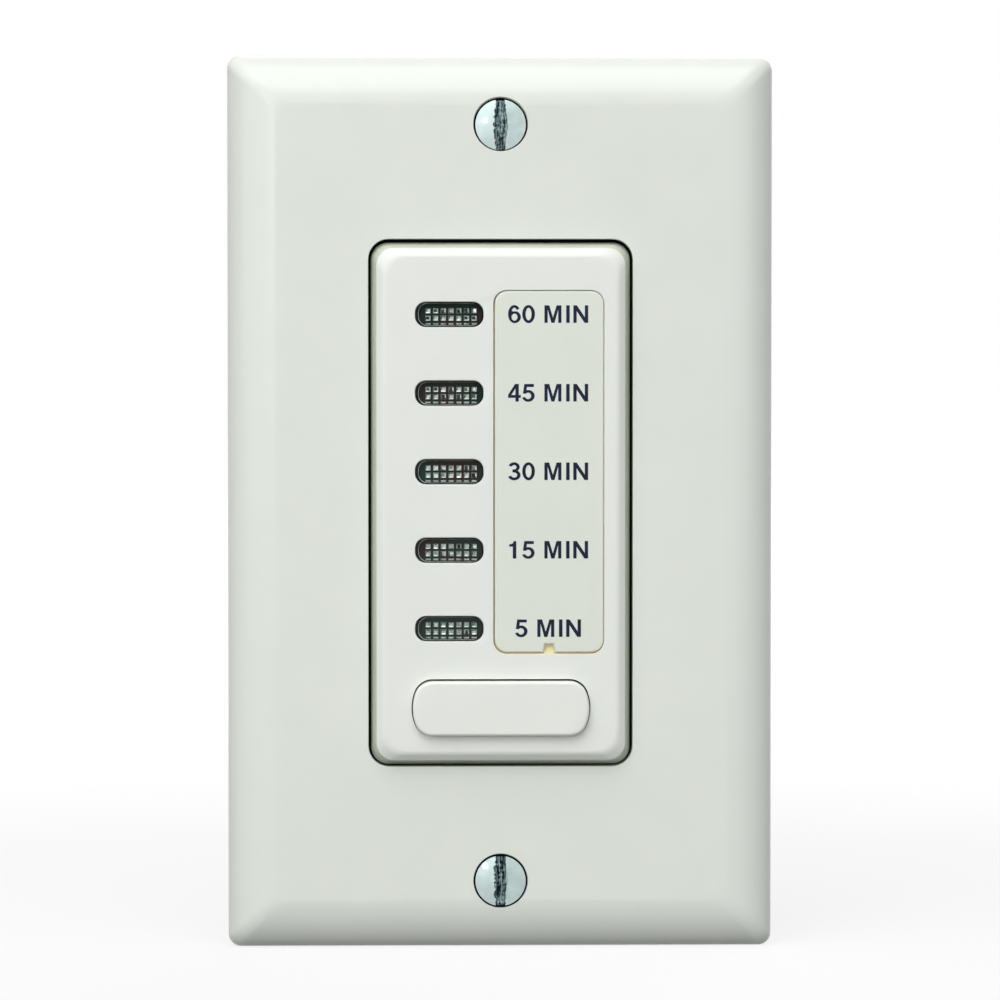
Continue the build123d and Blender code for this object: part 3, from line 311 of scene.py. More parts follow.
def rounded(width, height, radius, centre=(0, 0), steps=8):
    """Outline of an upright rounded rectangle, counterclockwise from its right side."""
    points = []
    for side_x, side_z, start in ((1, 1, 0), (-1, 1, 90), (-1, -1, 180), (1, -1, 270)):
        for step in range(steps + 1):
            turn = math.radians(start + 90 * step / steps)
            points.append((
                centre[0] + side_x * (width / 2 - radius) + radius * math.cos(turn),
                centre[1] + side_z * (height / 2 - radius) + radius * math.sin(turn),
            ))
    return points


def circle(radius, centre=(0, 0), steps=64):
    """Outline of a circle, counterclockwise from its right side."""
    return [
        (centre[0] + radius * math.cos(2 * math.pi * i / steps),
         centre[1] + radius * math.sin(2 * math.pi * i / steps))
        for i in range(steps)
    ]


def arc(centre, half_width, half_height, start, end, steps):
    """Points along an ellipse from one angle to another, in degrees."""
    points = []
    for step in range(steps + 1):
        turn = math.radians(start + (end - start) * step / steps)
        points.append((centre[0] + half_width * math.cos(turn), centre[1] + half_height * math.sin(turn)))
    return points


def bar(inset, centre_z):
    """Outline of the button, moved inwards by the inset: flat top and bottom, arched ends, soft corners."""
    half_height = button_height / 2
    end_radius = (half_height ** 2 + button_sagitta ** 2) / (2 * button_sagitta)
    end_x = button_width / 2 - end_radius
    inner = end_radius - button_corner_radius
    corner_z = half_height - button_corner_radius
    corner_x = end_x + math.sqrt(inner ** 2 - corner_z ** 2)
    lean = math.degrees(math.atan2(corner_z, corner_x - end_x))
    big = end_radius - inset
    small = button_corner_radius - inset
    right = (
        arc((corner_x, -corner_z), small, small, -90, -lean, button_end_steps)
        + arc((end_x, 0), big, big, -lean, lean, 2 * button_end_steps)[1:]
        + arc((corner_x, corner_z), small, small, lean, 90, button_end_steps)[1:]
    )
    left = [(-x, -z) for x, z in right]
    return [(x, centre_z + z) for x, z in right + left]


def quarter_round(edge, steps):
    """Insets and drops of a soft edge, from its wall up to its flat. A hole's edge swaps the two."""
    turns = [math.pi / 2 * step / steps for step in range(steps + 1)]
    return [(edge * (1 - math.cos(turn)), edge * (1 - math.sin(turn))) for turn in turns]


def ring(bm, points, level):
    """Vertices of an outline on a level."""
    return [bm.verts.new((x, -level, z)) for x, z in points]


def skin(bm, rings, material=0):
    """Quads between each ring and the next."""
    for low, high in zip(rings, rings[1:]):
        for i in range(len(low)):
            j = (i + 1) % len(low)
            bm.faces.new((low[i], low[j], high[j], high[i])).material_index = material


def flat(bm, outer, holes=(), material=0):
    """Flat face inside the outer ring, left open where its holes are."""
    edges = []
    for loop in (outer, *holes):
        for i in range(len(loop)):
            pair = (loop[i - 1], loop[i])
            edges.append(bm.edges.get(pair) or bm.edges.new(pair))
    filled = bmesh.ops.triangle_fill(bm, use_beauty=True, use_dissolve=False, edges=edges)
    for face in filled["geom"]:
        if isinstance(face, bmesh.types.BMFace):
            face.material_index = material


def lip(bm, outline, edge, level, floor, steps=4, material=0):
    """Hole wall with a rounded front edge. Returns its rings at the front and on the floor."""
    rings = [ring(bm, outline(-outset), level - drop) for drop, outset in quarter_round(edge, steps)]
    rings.append(ring(bm, outline(0), floor))
    skin(bm, rings[:-1])
    skin(bm, rings[-2:], material)
    return rings[0], rings[-1]


def make_piece(name, bm, finishes, nodes=(), body="switch_body", crease=soft_crease):
    """Finish a mesh as a named piece that rides on a body and stands for its CAD nodes."""
    bmesh.ops.recalc_face_normals(bm, faces=bm.faces)
    mesh = bpy.data.meshes.new(name)
    bm.to_mesh(mesh)
    bm.free()
    mesh.transform(Matrix.Scale(mm, 4))
    for finish in finishes:
        mesh.materials.append(materials[finish])
    for polygon in mesh.polygons:
        polygon.use_smooth = True
    mesh.set_sharp_from_angle(angle=math.radians(crease))
    piece = bpy.data.objects.new(name, mesh)
    bpy.context.scene.collection.objects.link(piece)
    weights = piece.modifiers.new("flat_faces_first", "WEIGHTED_NORMAL")
    weights.keep_sharp = True
    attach(piece, body)
    if nodes:
        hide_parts(*nodes)
    return piece


# Materials

def new_material(name):
    """New node material, with its node tree and its shader."""
    material = bpy.data.materials.new(name)
    material.use_nodes = True
    tree = material.node_tree
    return material, tree, tree.nodes["Principled BSDF"]


def noise_node(tree, scale, detail, stretch):
    """Noise over the object's own coordinates, in cells per metre."""
    coordinates = tree.nodes.new("ShaderNodeTexCoord")
    mapping = tree.nodes.new("ShaderNodeMapping")
    mapping.inputs["Scale"].default_value = stretch
    cloud = tree.nodes.new("ShaderNodeTexNoise")
    cloud.inputs["Scale"].default_value = scale
    cloud.inputs["Detail"].default_value = detail
    tree.links.new(coordinates.outputs["Object"], mapping.inputs["Vector"])
    tree.links.new(mapping.outputs["Vector"], cloud.inputs["Vector"])
    return cloud.outputs["Fac"]


def spread(tree, value, low, high, low_in=0.3, high_in=0.7):
    """Value carried over from its own range to the range from low to high, and held at the ends."""
    node = tree.nodes.new("ShaderNodeMapRange")
    node.inputs["From Min"].default_value = low_in
    node.inputs["From Max"].default_value = high_in
    node.inputs["To Min"].default_value = low
    node.inputs["To Max"].default_value = high
    tree.links.new(value, node.inputs["Value"])
    return node.outputs["Result"]


def two_tone(tree, value, first, second, low_in, high_in):
    """Colour that goes from one tone to another while the value crosses its range."""
    ramp = tree.nodes.new("ShaderNodeValToRGB")
    ramp.color_ramp.elements[0].position = low_in
    ramp.color_ramp.elements[0].color = (*first, 1)
    ramp.color_ramp.elements[1].position = high_in
    ramp.color_ramp.elements[1].color = (*second, 1)
    tree.links.new(value, ramp.inputs["Fac"])
    return ramp.outputs["Color"]


def bump_node(tree, height, strength, distance):
    """Normal bent by a height value."""
    bump = tree.nodes.new("ShaderNodeBump")
    bump.inputs["Strength"].default_value = strength
    bump.inputs["Distance"].default_value = distance
    tree.links.new(height, bump.inputs["Height"])
    return bump.outputs["Normal"]


def surface(name, first, second, roughness, metallic=0.0, cells=300, stretch=(1, 1, 1), detail=4,
            grain=4000, grain_strength=0.1, grain_depth=0.00002, coat=0.0, specular=0.5,
            tones=(0.3, 0.7)):
    """Two-toned surface with a fine grain: plastics, fibre, inks and metals share this base."""
    material, tree, shader = new_material(name)
    cloud = noise_node(tree, cells, detail, stretch)
    tree.links.new(two_tone(tree, cloud, first, second, *tones), shader.inputs["Base Color"])
    tree.links.new(spread(tree, cloud, *roughness), shader.inputs["Roughness"])
    fine = noise_node(tree, grain, grain_detail, stretch)
    tree.links.new(bump_node(tree, fine, grain_strength, grain_depth), shader.inputs["Normal"])
    shader.inputs["Metallic"].default_value = metallic
    shader.inputs["Specular IOR Level"].default_value = specular
    shader.inputs["Coat Weight"].default_value = coat
    shader.inputs["Coat Roughness"].default_value = coat_roughness
    return material


def moulded(name, first, second, roughness):
    """Glossy moulded plastic with the faint waviness that such faces have."""
    return surface(name, first, second, roughness, cells=140, grain=900, grain_strength=0.05,
                   grain_depth=0.00004)


# Each gets two tones, a roughness range and, where it is needed, how metallic it is
materials = {
    "plate_plastic": moulded("plate_plastic", (0.78, 0.82, 0.76), (0.80, 0.835, 0.78), (0.2, 0.26)),
    "cover_plastic": moulded("cover_plastic", (0.83, 0.86, 0.815), (0.85, 0.875, 0.825), (0.3, 0.38)),
    # Painted shade: a darker, yellower copy of the cover plastic for its steep side band in the gap
    "cover_side_painted_shade": moulded("cover_side_painted_shade", (0.72, 0.765, 0.64), (0.74, 0.785, 0.67), (0.34, 0.42)),
    "label_plastic": moulded("label_plastic", (0.765, 0.805, 0.725), (0.785, 0.825, 0.745),
                             (0.34, 0.42)),
    "button_plastic": moulded("button_plastic", (0.845, 0.865, 0.815), (0.865, 0.885, 0.835),
                              (0.34, 0.42)),
    "zinc_steel": surface("zinc_steel", (0.42, 0.53, 0.53), (0.52, 0.62, 0.6), (0.44, 0.54), 1.0,
                          cells=900, grain=6000, grain_strength=0.2, grain_depth=0.00001, coat=1.0),
    "strap_steel": surface("strap_steel", (0.5, 0.52, 0.53), (0.68, 0.69, 0.69), (0.25, 0.5), 1.0,
                           cells=220, detail=2, grain=3000, grain_strength=0.2, stretch=(1, 1, 0.3)),
    "fibre": surface("fibre", (0.2, 0.11, 0.06), (0.36, 0.22, 0.12), (0.6, 0.85), cells=500,
                     stretch=(0.2, 1, 1), grain=2500, grain_strength=0.5),
    "ground_green": surface("ground_green", (0.02, 0.17, 0.05), (0.05, 0.3, 0.1), (0.25, 0.45), 0.7,
                            cells=700, grain=5000, grain_strength=0.2),
    "baffle_white": surface("baffle_white", (0.7, 0.7, 0.66), (0.78, 0.78, 0.74), (0.45, 0.6)),
    "board_green": surface("board_green", (0.01, 0.09, 0.035), (0.025, 0.16, 0.06), (0.25, 0.4),
                           cells=160, detail=1, grain=3500, coat=0.3),
    "chip_black": surface("chip_black", (0.012, 0.012, 0.013), (0.025, 0.025, 0.027), (0.5, 0.65),
                          grain=7000, grain_strength=0.4),
    "led_body": surface("led_body", (0.72, 0.6, 0.3), (0.82, 0.74, 0.5), (0.12, 0.25), cells=800),
    "housing_plastic": surface("housing_plastic", (0.014, 0.014, 0.015), (0.024, 0.024, 0.026),
                               (0.42, 0.6), cells=200, grain=5500, grain_strength=0.5,
                               grain_depth=0.00003),
    "film_yellow": surface("film_yellow", (0.62, 0.36, 0.02), (0.72, 0.44, 0.04), (0.22, 0.36)),
    "can_sleeve": surface("can_sleeve", (0.008, 0.014, 0.07), (0.014, 0.022, 0.1), (0.18, 0.3)),
    "varistor_blue": surface("varistor_blue", (0.015, 0.07, 0.26), (0.03, 0.1, 0.32), (0.2, 0.4)),
    "resistor_body": surface("resistor_body", (0.32, 0.38, 0.3), (0.4, 0.45, 0.37), (0.5, 0.7)),
    "relay_blue": surface("relay_blue", (0.008, 0.05, 0.22), (0.014, 0.07, 0.27), (0.2, 0.32)),
    "copper": surface("copper", (0.5, 0.16, 0.05), (0.75, 0.3, 0.12), (0.22, 0.4), 1.0,
                      cells=2500, stretch=(0.1, 6, 0.1), grain=8000),
    "soft_iron": surface("soft_iron", (0.33, 0.33, 0.34), (0.48, 0.48, 0.49), (0.35, 0.55), 1.0),
    "brass": surface("brass", (0.58, 0.36, 0.11), (0.78, 0.54, 0.22), (0.2, 0.42), 1.0, cells=400,
                     grain=5000, stretch=(1, 0.25, 1)),
    "ink": surface("ink", (0.004, 0.008, 0.026), (0.008, 0.016, 0.045), (0.5, 0.65), grain=9000,
                   grain_strength=0.3, specular=0.2),
    # Painted shade: black on the flanges and hole walls deep in the gaps, where the real parts are only in
    # shadow
    "painted_recess_shade": surface("painted_recess_shade", (0.004, 0.004, 0.004), (0.008, 0.008, 0.008), (0.6, 0.8),
                           specular=0.1),
    # Painted shade: the label pocket's walls and floor, tinted brown for light bounced in the narrow gap
    "label_pocket_painted_shade": surface("label_pocket_painted_shade", (0.88, 0.77, 0.47), (0.94, 0.85, 0.57), (0.5, 0.7),
                            cells=900),
    # Painted shade: the slots' near-black streaked core, and the flanks' burr streaks, partly dark as shade
    "slot_painted_shade": surface("slot_painted_shade", (0.002, 0.006, 0.012), (0.3, 0.42, 0.42), (0.35, 0.6), 0.8,
                         cells=5000, stretch=(1, 1, 0.12), grain=9000, grain_strength=0.8,
                         grain_depth=0.00006, specular=0.2, tones=(0.42, 0.68)),
    "slot_burr_and_painted_shade": surface("slot_burr_and_painted_shade", (0.02, 0.05, 0.06), (0.6, 0.74, 0.74), (0.25, 0.5), 1.0,
                         cells=5000, stretch=(1, 1, 0.15), grain=9000, grain_strength=0.6,
                         tones=(0.44, 0.56)),
    # Painted shade: the lens border, black as its clear edge looks with the dark inside showing through it
    "lens_edge": surface("lens_edge", (0.003, 0.004, 0.004), (0.008, 0.01, 0.009), (0.06, 0.16),
                         specular=0.2),
    # Painted highlight: a pale ring inside each window's border, where the clear lens's edge catches light
    "lens_painted_highlight": surface("lens_painted_highlight", (0.3, 0.36, 0.33), (0.8, 0.86, 0.82), (0.08, 0.2), cells=1500),
    "lens_dark": surface("lens_dark", (0.005, 0.05, 0.042), (0.05, 0.02, 0.016), (0.08, 0.2),
                         cells=260, detail=2, specular=0.2),
    "pip_rim": surface("pip_rim", (0.14, 0.2, 0.18), (0.55, 0.64, 0.58), (0.1, 0.25), 0.1, cells=1300),
    "pip_pit": surface("pip_pit", (0.08, 0.11, 0.1), (0.4, 0.45, 0.42), (0.04, 0.1), 1.0, cells=1600),
}


# Carried-over CAD nodes take the finish of their slot
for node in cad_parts.values():
    for slot in node.material_slots:
        finish = slot.material.name.split(".")[0]
        if finish in materials:
            slot.material = materials[finish]


# Wall plate

def build_wall_plate():
    """Rim, curved bevel, front face, opening with its rib, bosses and the hollow back."""
    bm = bmesh.new()
    outer = [ring(bm, rounded(plate_width, plate_height, plate_corner_radius), 0)]
    for step in range(bevel_steps + 1):
        turn = bevel_turn * step / bevel_steps
        share = (1 - math.cos(turn)) / (1 - math.cos(bevel_turn))
        level = blend_value(plate_rim, plate_front, math.sin(turn) / math.sin(bevel_turn))
        radius = blend_value(plate_corner_radius, plate_flat_radius, share)
        inset = plate_bevel * share
        outer.append(ring(bm, rounded(plate_width - 2 * inset, plate_height - 2 * inset, radius), level))
    skin(bm, outer)

    def opening(offset):
        return rounded(opening_width - 2 * offset, opening_height - 2 * offset,
                       opening_corner_radius - offset)

    opening_top, opening_bottom = lip(bm, opening, opening_edge_radius, plate_front, rib_back, steps=6)
    rib_outline = rounded(opening_width + 2 * opening_rib, opening_height + 2 * opening_rib,
                          opening_corner_radius + opening_rib)
    rib_bottom = ring(bm, rib_outline, rib_back)
    rib_top = ring(bm, rib_outline, plate_ceiling)
    skin(bm, [opening_bottom, rib_bottom, rib_top])

    boss_tops = []
    for side in (-1, 1):
        boss_end = ring(bm, circle(boss_radius, (0, side * screw_z)), boss_back)
        boss_top = ring(bm, circle(boss_radius, (0, side * screw_z)), plate_ceiling)
        skin(bm, [boss_end, boss_top])
        flat(bm, boss_end)
        boss_tops.append(boss_top)
    flat(bm, outer[-1], [opening_top])

    def inside(inset, level):
        return ring(bm, rounded(plate_width - 2 * inset, plate_height - 2 * inset,
                                plate_corner_radius), level)

    back = inside(plate_wall, 0)
    wall_top = inside(plate_wall, plate_rim)
    ceiling = inside(plate_pocket_inset, plate_ceiling)
    skin(bm, [outer[0], back, wall_top, ceiling])
    flat(bm, ceiling, [rib_top, *boss_tops])
    piece = make_piece("plate_shell", bm, ["plate_plastic", "painted_recess_shade"], ["wall_plate"])
    cut_away(piece, countersink_cutter())


def head_z(side):
    """Height of a plate screw's middle: -1 is the lower screw, 1 the upper. Both sit low in their holes."""
    return side * screw_z - screw_drops[side]


def countersink_cutter():
    """Two cones on cylinders, the screw holes: pale at the mouth, and painted shade from beside the head
    down.
    """
    bm = bmesh.new()
    dark = 1
    slope = math.tan(countersink_angle / 2)
    cone_depth = (countersink_radius - screw_hole_radius) / slope
    mouth_radius = countersink_radius + slope * cutter_margin
    painted_shade_radius = screw_head_radius + countersink_painted_shade_margin
    for side in (-1, 1):
        centre = (0, side * screw_z)
        rings = [
            ring(bm, circle(mouth_radius, centre), plate_front + cutter_margin),
            ring(bm, circle(countersink_radius, centre), plate_front),
            ring(bm, circle(painted_shade_radius, (0, head_z(side))), plate_front - countersink_lit_depth),
            ring(bm, circle(screw_hole_radius, centre), plate_front - cone_depth),
            ring(bm, circle(screw_hole_radius, centre), boss_back - cutter_margin),
        ]
        skin(bm, rings[:3])
        # Below the pale mouth the hole wall is painted shade, black where it is shaded
        skin(bm, rings[2:], dark)
        flat(bm, rings[0])
        flat(bm, rings[-1], material=dark)
    return bm


# Front cover

def cover_chamfer():
    """Insets and levels of the soft chamfer round the cover, from its foot up to the front face."""
    points = []
    for step in range(cover_edge_steps + 1):
        turn = cover_edge_slope * (1 - step / cover_edge_steps)
        points.append((cover_edge_inset - cover_edge_round * math.sin(turn),
                       cover_front - cover_edge_round * (1 - math.cos(turn))))
    start_inset, start_level = points[0]
    foot_level = start_level - (start_inset - cover_draft) * math.tan(cover_edge_slope)
    return [(cover_draft, foot_level), *points]


def build_front_cover():
    """Flange, soft chamfer, windows, button opening, label recess and the hollow back."""
    bm = bmesh.new()
    finishes = ["cover_plastic", "painted_recess_shade", "label_pocket_painted_shade", "cover_side_painted_shade"]
    dark, pocket_shade, side = 1, 2, 3
    flange = rounded(cover_width + 2 * cover_flange_margin, cover_height + 2 * cover_flange_margin,
                     cover_corner_radius)
    body = rounded(cover_width + 2 * cover_base_spread, cover_height + 2 * cover_base_spread,
                   cover_corner_radius, (0, -cover_drop))
    flange_front = cover_flange_back + cover_flange_thickness
    back = ring(bm, flange, cover_flange_back)
    rim = [back, ring(bm, flange, flange_front), ring(bm, body, flange_front),
           ring(bm, body, cover_wall_start)]
    # The flange and the walls below the chamfer are painted shade, black in the gap
    skin(bm, rim, dark)
    outer = [rim[-1]]
    for inset, level in cover_chamfer():
        share = (inset - cover_draft) / (cover_edge_inset - cover_draft)
        radius = blend_value(cover_corner_radius, cover_flat_radius, share)
        outline = rounded(cover_width - 2 * inset, cover_height - 2 * inset, radius, (0, -cover_drop))
        outer.append(ring(bm, outline, level))
    # The steep side band is painted shade
    skin(bm, outer[:2], side)
    skin(bm, outer[1:])

    panel_back = cover_front - cover_wall
    holes, backs = [], []
    for name in window_names:
        centre = middle("indicator_lens_" + name)

        def window(offset):
            return rounded(window_width - 2 * offset, window_height - 2 * offset,
                           window_radius - offset, centre)

        top, bottom = lip(bm, window, cover_lip, cover_front, panel_back)
        holes.append(top)
        backs.append(bottom)

    def button_hole(offset):
        return bar(offset - button_gap, button_hole_z)

    # The button hole's wall below its lip is painted shade
    top, bottom = lip(bm, button_hole, button_lip, cover_front, panel_back, material=dark)
    holes.append(top)
    backs.append(bottom)

    gaps = label_gap_wide + label_gap_narrow
    shift = (label_gap_wide - label_gap_narrow) / 2

    def pocket(offset):
        return rounded(label_width + gaps - 2 * offset, label_height + gaps - 2 * offset,
                       label_radius + gaps / 2 - offset, (label_x - shift, label_z - shift))

    pocket_floor = cover_front - label_pocket_depth
    # The pocket's wall and floor are painted shade
    top, bottom = lip(bm, pocket, button_lip, cover_front, pocket_floor, material=pocket_shade)
    holes.append(top)
    flat(bm, bottom, material=pocket_shade)
    flat(bm, outer[-1], holes)

    inner = rounded(cover_width - 2 * cover_wall, cover_height - 2 * cover_wall, cover_inner_radius)
    inner_low = ring(bm, inner, cover_flange_back)
    inner_high = ring(bm, inner, panel_back)
    skin(bm, [back, inner_low, inner_high])
    flat(bm, inner_high, backs)
    make_piece("cover_shell", bm, finishes, ["front_cover"])


# Label strip

def build_label():
    """Near-flush panel with a soft edge and a small pry notch below."""
    bm = bmesh.new()

    def outline(inset):
        points = rounded(label_width - 2 * inset, label_height - 2 * inset, label_radius - inset,
                         (label_x, label_z), label_corner_steps)
        base = label_z - label_height / 2 + inset
        half = notch_width / 2 + inset
        half_top = notch_top_width / 2 + inset
        top = label_z - label_height / 2 + notch_height + inset
        notch = [(label_x - half, base), (label_x - half_top, top), (label_x + half_top, top),
                 (label_x + half, base)]
        corner = 3 * len(points) // 4
        return points[:corner] + notch + points[corner:]

    rings = [ring(bm, outline(0), label_back)]
    for inset, drop in quarter_round(label_edge, label_edge_steps):
        rings.append(ring(bm, outline(inset), label_front - drop))
    skin(bm, rings)
    flat(bm, rings[0])
    flat(bm, rings[-1])
    make_piece("label_panel", bm, ["label_plastic"], ["label_strip"])


# Time legends: bold upright letters as raised ink, drawn with a cap height of one. A letter's
# second outline, where it has one, is the hole inside it.
glyphs = {
    "I": [[(0, 0), (0.2, 0), (0.2, 1), (0, 1)]],
    "M": [[(0, 0), (0.185, 0), (0.185, 0.76), (0.395, 0), (0.575, 0), (0.785, 0.76), (0.785, 0),
           (0.97, 0), (0.97, 1), (0.695, 1), (0.485, 0.3), (0.275, 1), (0, 1)]],
    "N": [[(0, 0), (0.19, 0), (0.19, 0.67), (0.64, 0), (0.847, 0), (0.847, 1), (0.655, 1),
           (0.655, 0.32), (0.2, 1), (0, 1)]],
    "1": [[(0.27, 0), (0.47, 0), (0.47, 1), (0.33, 1), (0.26, 0.86), (0.06, 0.81), (0.06, 0.68),
           (0.27, 0.68)]],
    "4": [[(0.42, 0), (0.61, 0), (0.61, 0.21), (0.727, 0.21), (0.727, 0.37), (0.61, 0.37), (0.61, 1),
           (0.4, 1), (0, 0.38), (0, 0.21), (0.42, 0.21)],
          [(0.42, 0.37), (0.42, 0.74), (0.18, 0.37)]],
    "0": [arc((0.363, 0.5), 0.363, 0.515, 0, 342, 38), arc((0.363, 0.5), 0.17, 0.355, 0, 342, 38)],
    "6": [arc((0.36, 0.5), 0.36, 0.515, 38, 270, 30) + arc((0.367, 0.33), 0.36, 0.345, 272, 480, 30)
          + arc((0.36, 0.5), 0.175, 0.36, 159, 38, 16),
          arc((0.367, 0.325), 0.17, 0.2, 0, 342, 30)],
    "5": [[(0.12, 1), (0.04, 0.455)] + arc((0.335, 0.32), 0.175, 0.185, 140, -160, 26)
          + arc((0.345, 0.32), 0.365, 0.335, -163, 106, 30)
          + [(0.27, 0.83), (0.665, 0.83), (0.665, 1)]],
    "3": [arc((0.35, 0.285), 0.36, 0.3, -165, 55, 26) + arc((0.345, 0.745), 0.32, 0.27, -52, 165, 26)
          + arc((0.345, 0.735), 0.135, 0.125, 165, -80, 20) + [(0.25, 0.61), (0.25, 0.445)]
          + arc((0.35, 0.285), 0.17, 0.145, 85, -165, 22)],
}
glyph_widths = {"I": 0.2, "M": 0.97, "N": 0.847}
gaps_after = {"M": 0.27, "I": 0.21, "N": 0}


def build_legend(name, words, centre_z):
    """One line of letters on the label strip, set about the legends' middle line."""
    bm = bmesh.new()
    placed = []
    pen = 0
    for letter in words:
        if letter == " ":
            pen += word_gap
            continue
        placed.append((letter, pen))
        pen += glyph_widths.get(letter, digit_width) + gaps_after.get(letter, digit_gap)
    for letter, start in placed:
        back_rings, front_rings = [], []
        for loop in glyphs[letter]:
            points = [
                (legend_x + (start + x - pen / 2) * cap_height, centre_z + (z - 0.5) * cap_height)
                for x, z in loop
            ]
            back = ring(bm, points, label_front - ink_sink)
            front = ring(bm, points, label_front + ink_height)
            skin(bm, [back, front])
            back_rings.append(back)
            front_rings.append(front)
        flat(bm, back_rings[0], back_rings[1:])
        flat(bm, front_rings[0], front_rings[1:])
    make_piece(name, bm, ["ink"])


# Window lenses

def build_lens(name):
    """Border painted black as the shade in its clear edge, a pale inner ring that is a painted highlight,
    dark floor and rows of small hollow pips.
    """
    bm = bmesh.new()
    finishes = ["lens_edge", "lens_painted_highlight", "lens_dark", "pip_rim", "pip_pit"]
    line, dark = 1, 2
    centre_x, centre_z = middle("indicator_lens_" + name)

    def outline(inset, shift=0):
        return rounded(window_width - 2 * inset - shift, window_height - 2 * inset, window_radius - inset,
                       (centre_x + shift, centre_z))

    line_end = lens_border + lens_painted_highlight
    well_inset = line_end + lens_well_step
    outer = [
        ring(bm, outline(lens_slack), lens_back),
        ring(bm, outline(lens_slack), lens_front - lens_edge),
        ring(bm, outline(lens_slack + lens_edge / 3), lens_front - lens_edge / 4),
        ring(bm, outline(lens_slack + lens_edge), lens_front),
        ring(bm, outline(lens_border, lens_shift), lens_front),
    ]
    # The border faces take the black of painted shade
    skin(bm, outer)
    line_bottom = ring(bm, outline(line_end, lens_shift), lens_front - lens_painted_highlight_depth)
    # The ring inside the border is a painted highlight
    skin(bm, [outer[-1], line_bottom], line)
    well_bottom = ring(bm, outline(well_inset, lens_shift), lens_floor)
    skin(bm, [line_bottom, well_bottom], dark)
    flat(bm, well_bottom, material=dark)
    flat(bm, outer[0])
    bottom = centre_z - window_height / 2 + well_inset
    for row in range(pip_rows):
        for column in range(pip_columns):
            x = centre_x + pip_shift_x + (column - (pip_columns - 1) / 2) * pip_pitch_x
            z = centre_z + pip_shift_z + (pip_rows - 1 - 2 * row) / 2 * pip_pitch_z
            add_pip(bm, x, z, bottom)
    make_piece("window_" + name, bm, finishes, ["indicator_lens_" + name],
               crease=lens_crease)


def add_pip(bm, x, z, bottom):
    """Square cup on the lens floor, cut short where the window ends, or left out where it is a sliver."""
    rim, pit = 3, 4
    half = pip_size / 2
    low_z = max(z - half, bottom)
    if z + half - low_z < pip_rim:
        return
    lean = random.uniform(-pip_lean, pip_lean)
    apex = Vector((random.uniform(*pip_apex_x), random.uniform(*pip_apex_z)))

    def square(inset, rise):
        z_low = min(low_z + inset, (low_z + z + half) / 2)
        z_high = max(z + half - inset, z_low)
        points = [(x - half + inset, z_low), (x + half - inset, z_low), (x + half - inset, z_high),
                  (x - half + inset, z_high)]
        return ring(bm, [(px + lean * rise, pz) for px, pz in points], lens_floor + rise)

    wall = [square(0, 0), square(pip_taper, pip_rise), square(pip_rim, pip_rise)]
    skin(bm, wall, rim)
    if z - half >= bottom:
        bottom_ring = square(half - pip_pit_half, pip_rise - pip_pit)
        for vertex in bottom_ring:
            vertex.co.x += apex.x
            vertex.co.z += apex.y
        skin(bm, [wall[-1], bottom_ring], pit)
        bm.faces.new(bottom_ring).material_index = pit
    else:
        bm.faces.new(wall[-1]).material_index = rim
    bm.faces.new(list(reversed(wall[0]))).material_index = rim


# Push button

def build_button():
    """Bare flat cap with arched ends and a softly rounded edge, on a flange painted black as shade in the
    gap.
    """
    bm = bmesh.new()
    dark = 1
    rings = [
        ring(bm, bar(-button_flange_margin, button_z), button_flange_back),
        ring(bm, bar(-button_flange_margin, button_z), button_flange_front),
        ring(bm, bar(0, button_z), button_flange_front),
    ]
    for inset, drop in quarter_round(button_edge, button_edge_steps):
        rings.append(ring(bm, bar(inset, button_z), button_front - drop))
    # The flange is painted shade
    skin(bm, rings[:3], dark)
    skin(bm, rings[2:])
    flat(bm, rings[0])
    flat(bm, rings[-1])
    make_piece("button_cap", bm, ["button_plastic", "painted_recess_shade"], ["push_button"],
               body="button")


# Screws

def thread_rings(bm, centre, start_level, end_level):
    """Rings of a screw thread from one level down to another; it grows out of the shank and fades out."""
    length = start_level - end_level
    count = max(int(length / thread_pitch * thread_rings_per_turn), thread_rings_per_turn)
    rings = []
    for k in range(count + 1):
        depth = length * k / count
        fade = min(1, depth / thread_pitch, (length - depth) / thread_pitch + thread_end_share)
        points = []
        for i in range(turn_steps):
            share = i / turn_steps
            tooth = 1 - abs(2 * ((depth / thread_pitch - share) % 1) - 1)
            radius = thread_radius - thread_depth * (1 - tooth * fade)
            turn = 2 * math.pi * share
            points.append((centre[0] + radius * math.cos(turn), centre[1] + radius * math.sin(turn)))
        rings.append(ring(bm, points, start_level - depth))
    return rings


def build_screw_body(bm, centre):
    """Oval countersunk head on a threaded shank with a blunt tip."""
    crown_radius = (screw_head_radius ** 2 + screw_crown ** 2) / (2 * screw_crown)
    rings = []
    for k in range(1, screw_head_steps + 1):
        radius = screw_head_radius * k / screw_head_steps
        level = screw_rim_level + screw_crown - crown_radius + math.sqrt(crown_radius ** 2 - radius ** 2)
        rings.append(ring(bm, circle(radius, centre, turn_steps), level))
    flat(bm, rings[0])
    neck_level = screw_rim_level - (screw_head_radius - thread_radius) / math.tan(countersink_angle / 2)
    rings.append(ring(bm, circle(screw_head_radius, centre, turn_steps), screw_rim_level - screw_rim))
    rings.append(ring(bm, circle(thread_radius, centre, turn_steps), neck_level))
    skin(bm, rings)
    threads = thread_rings(bm, centre, neck_level, screw_tip_level + thread_tip_length)
    skin(bm, [rings[-1], *threads])
    tip = ring(bm, circle(thread_radius * screw_tip_share, centre, turn_steps), screw_tip_level)
    skin(bm, [threads[-1], tip])
    flat(bm, tip)


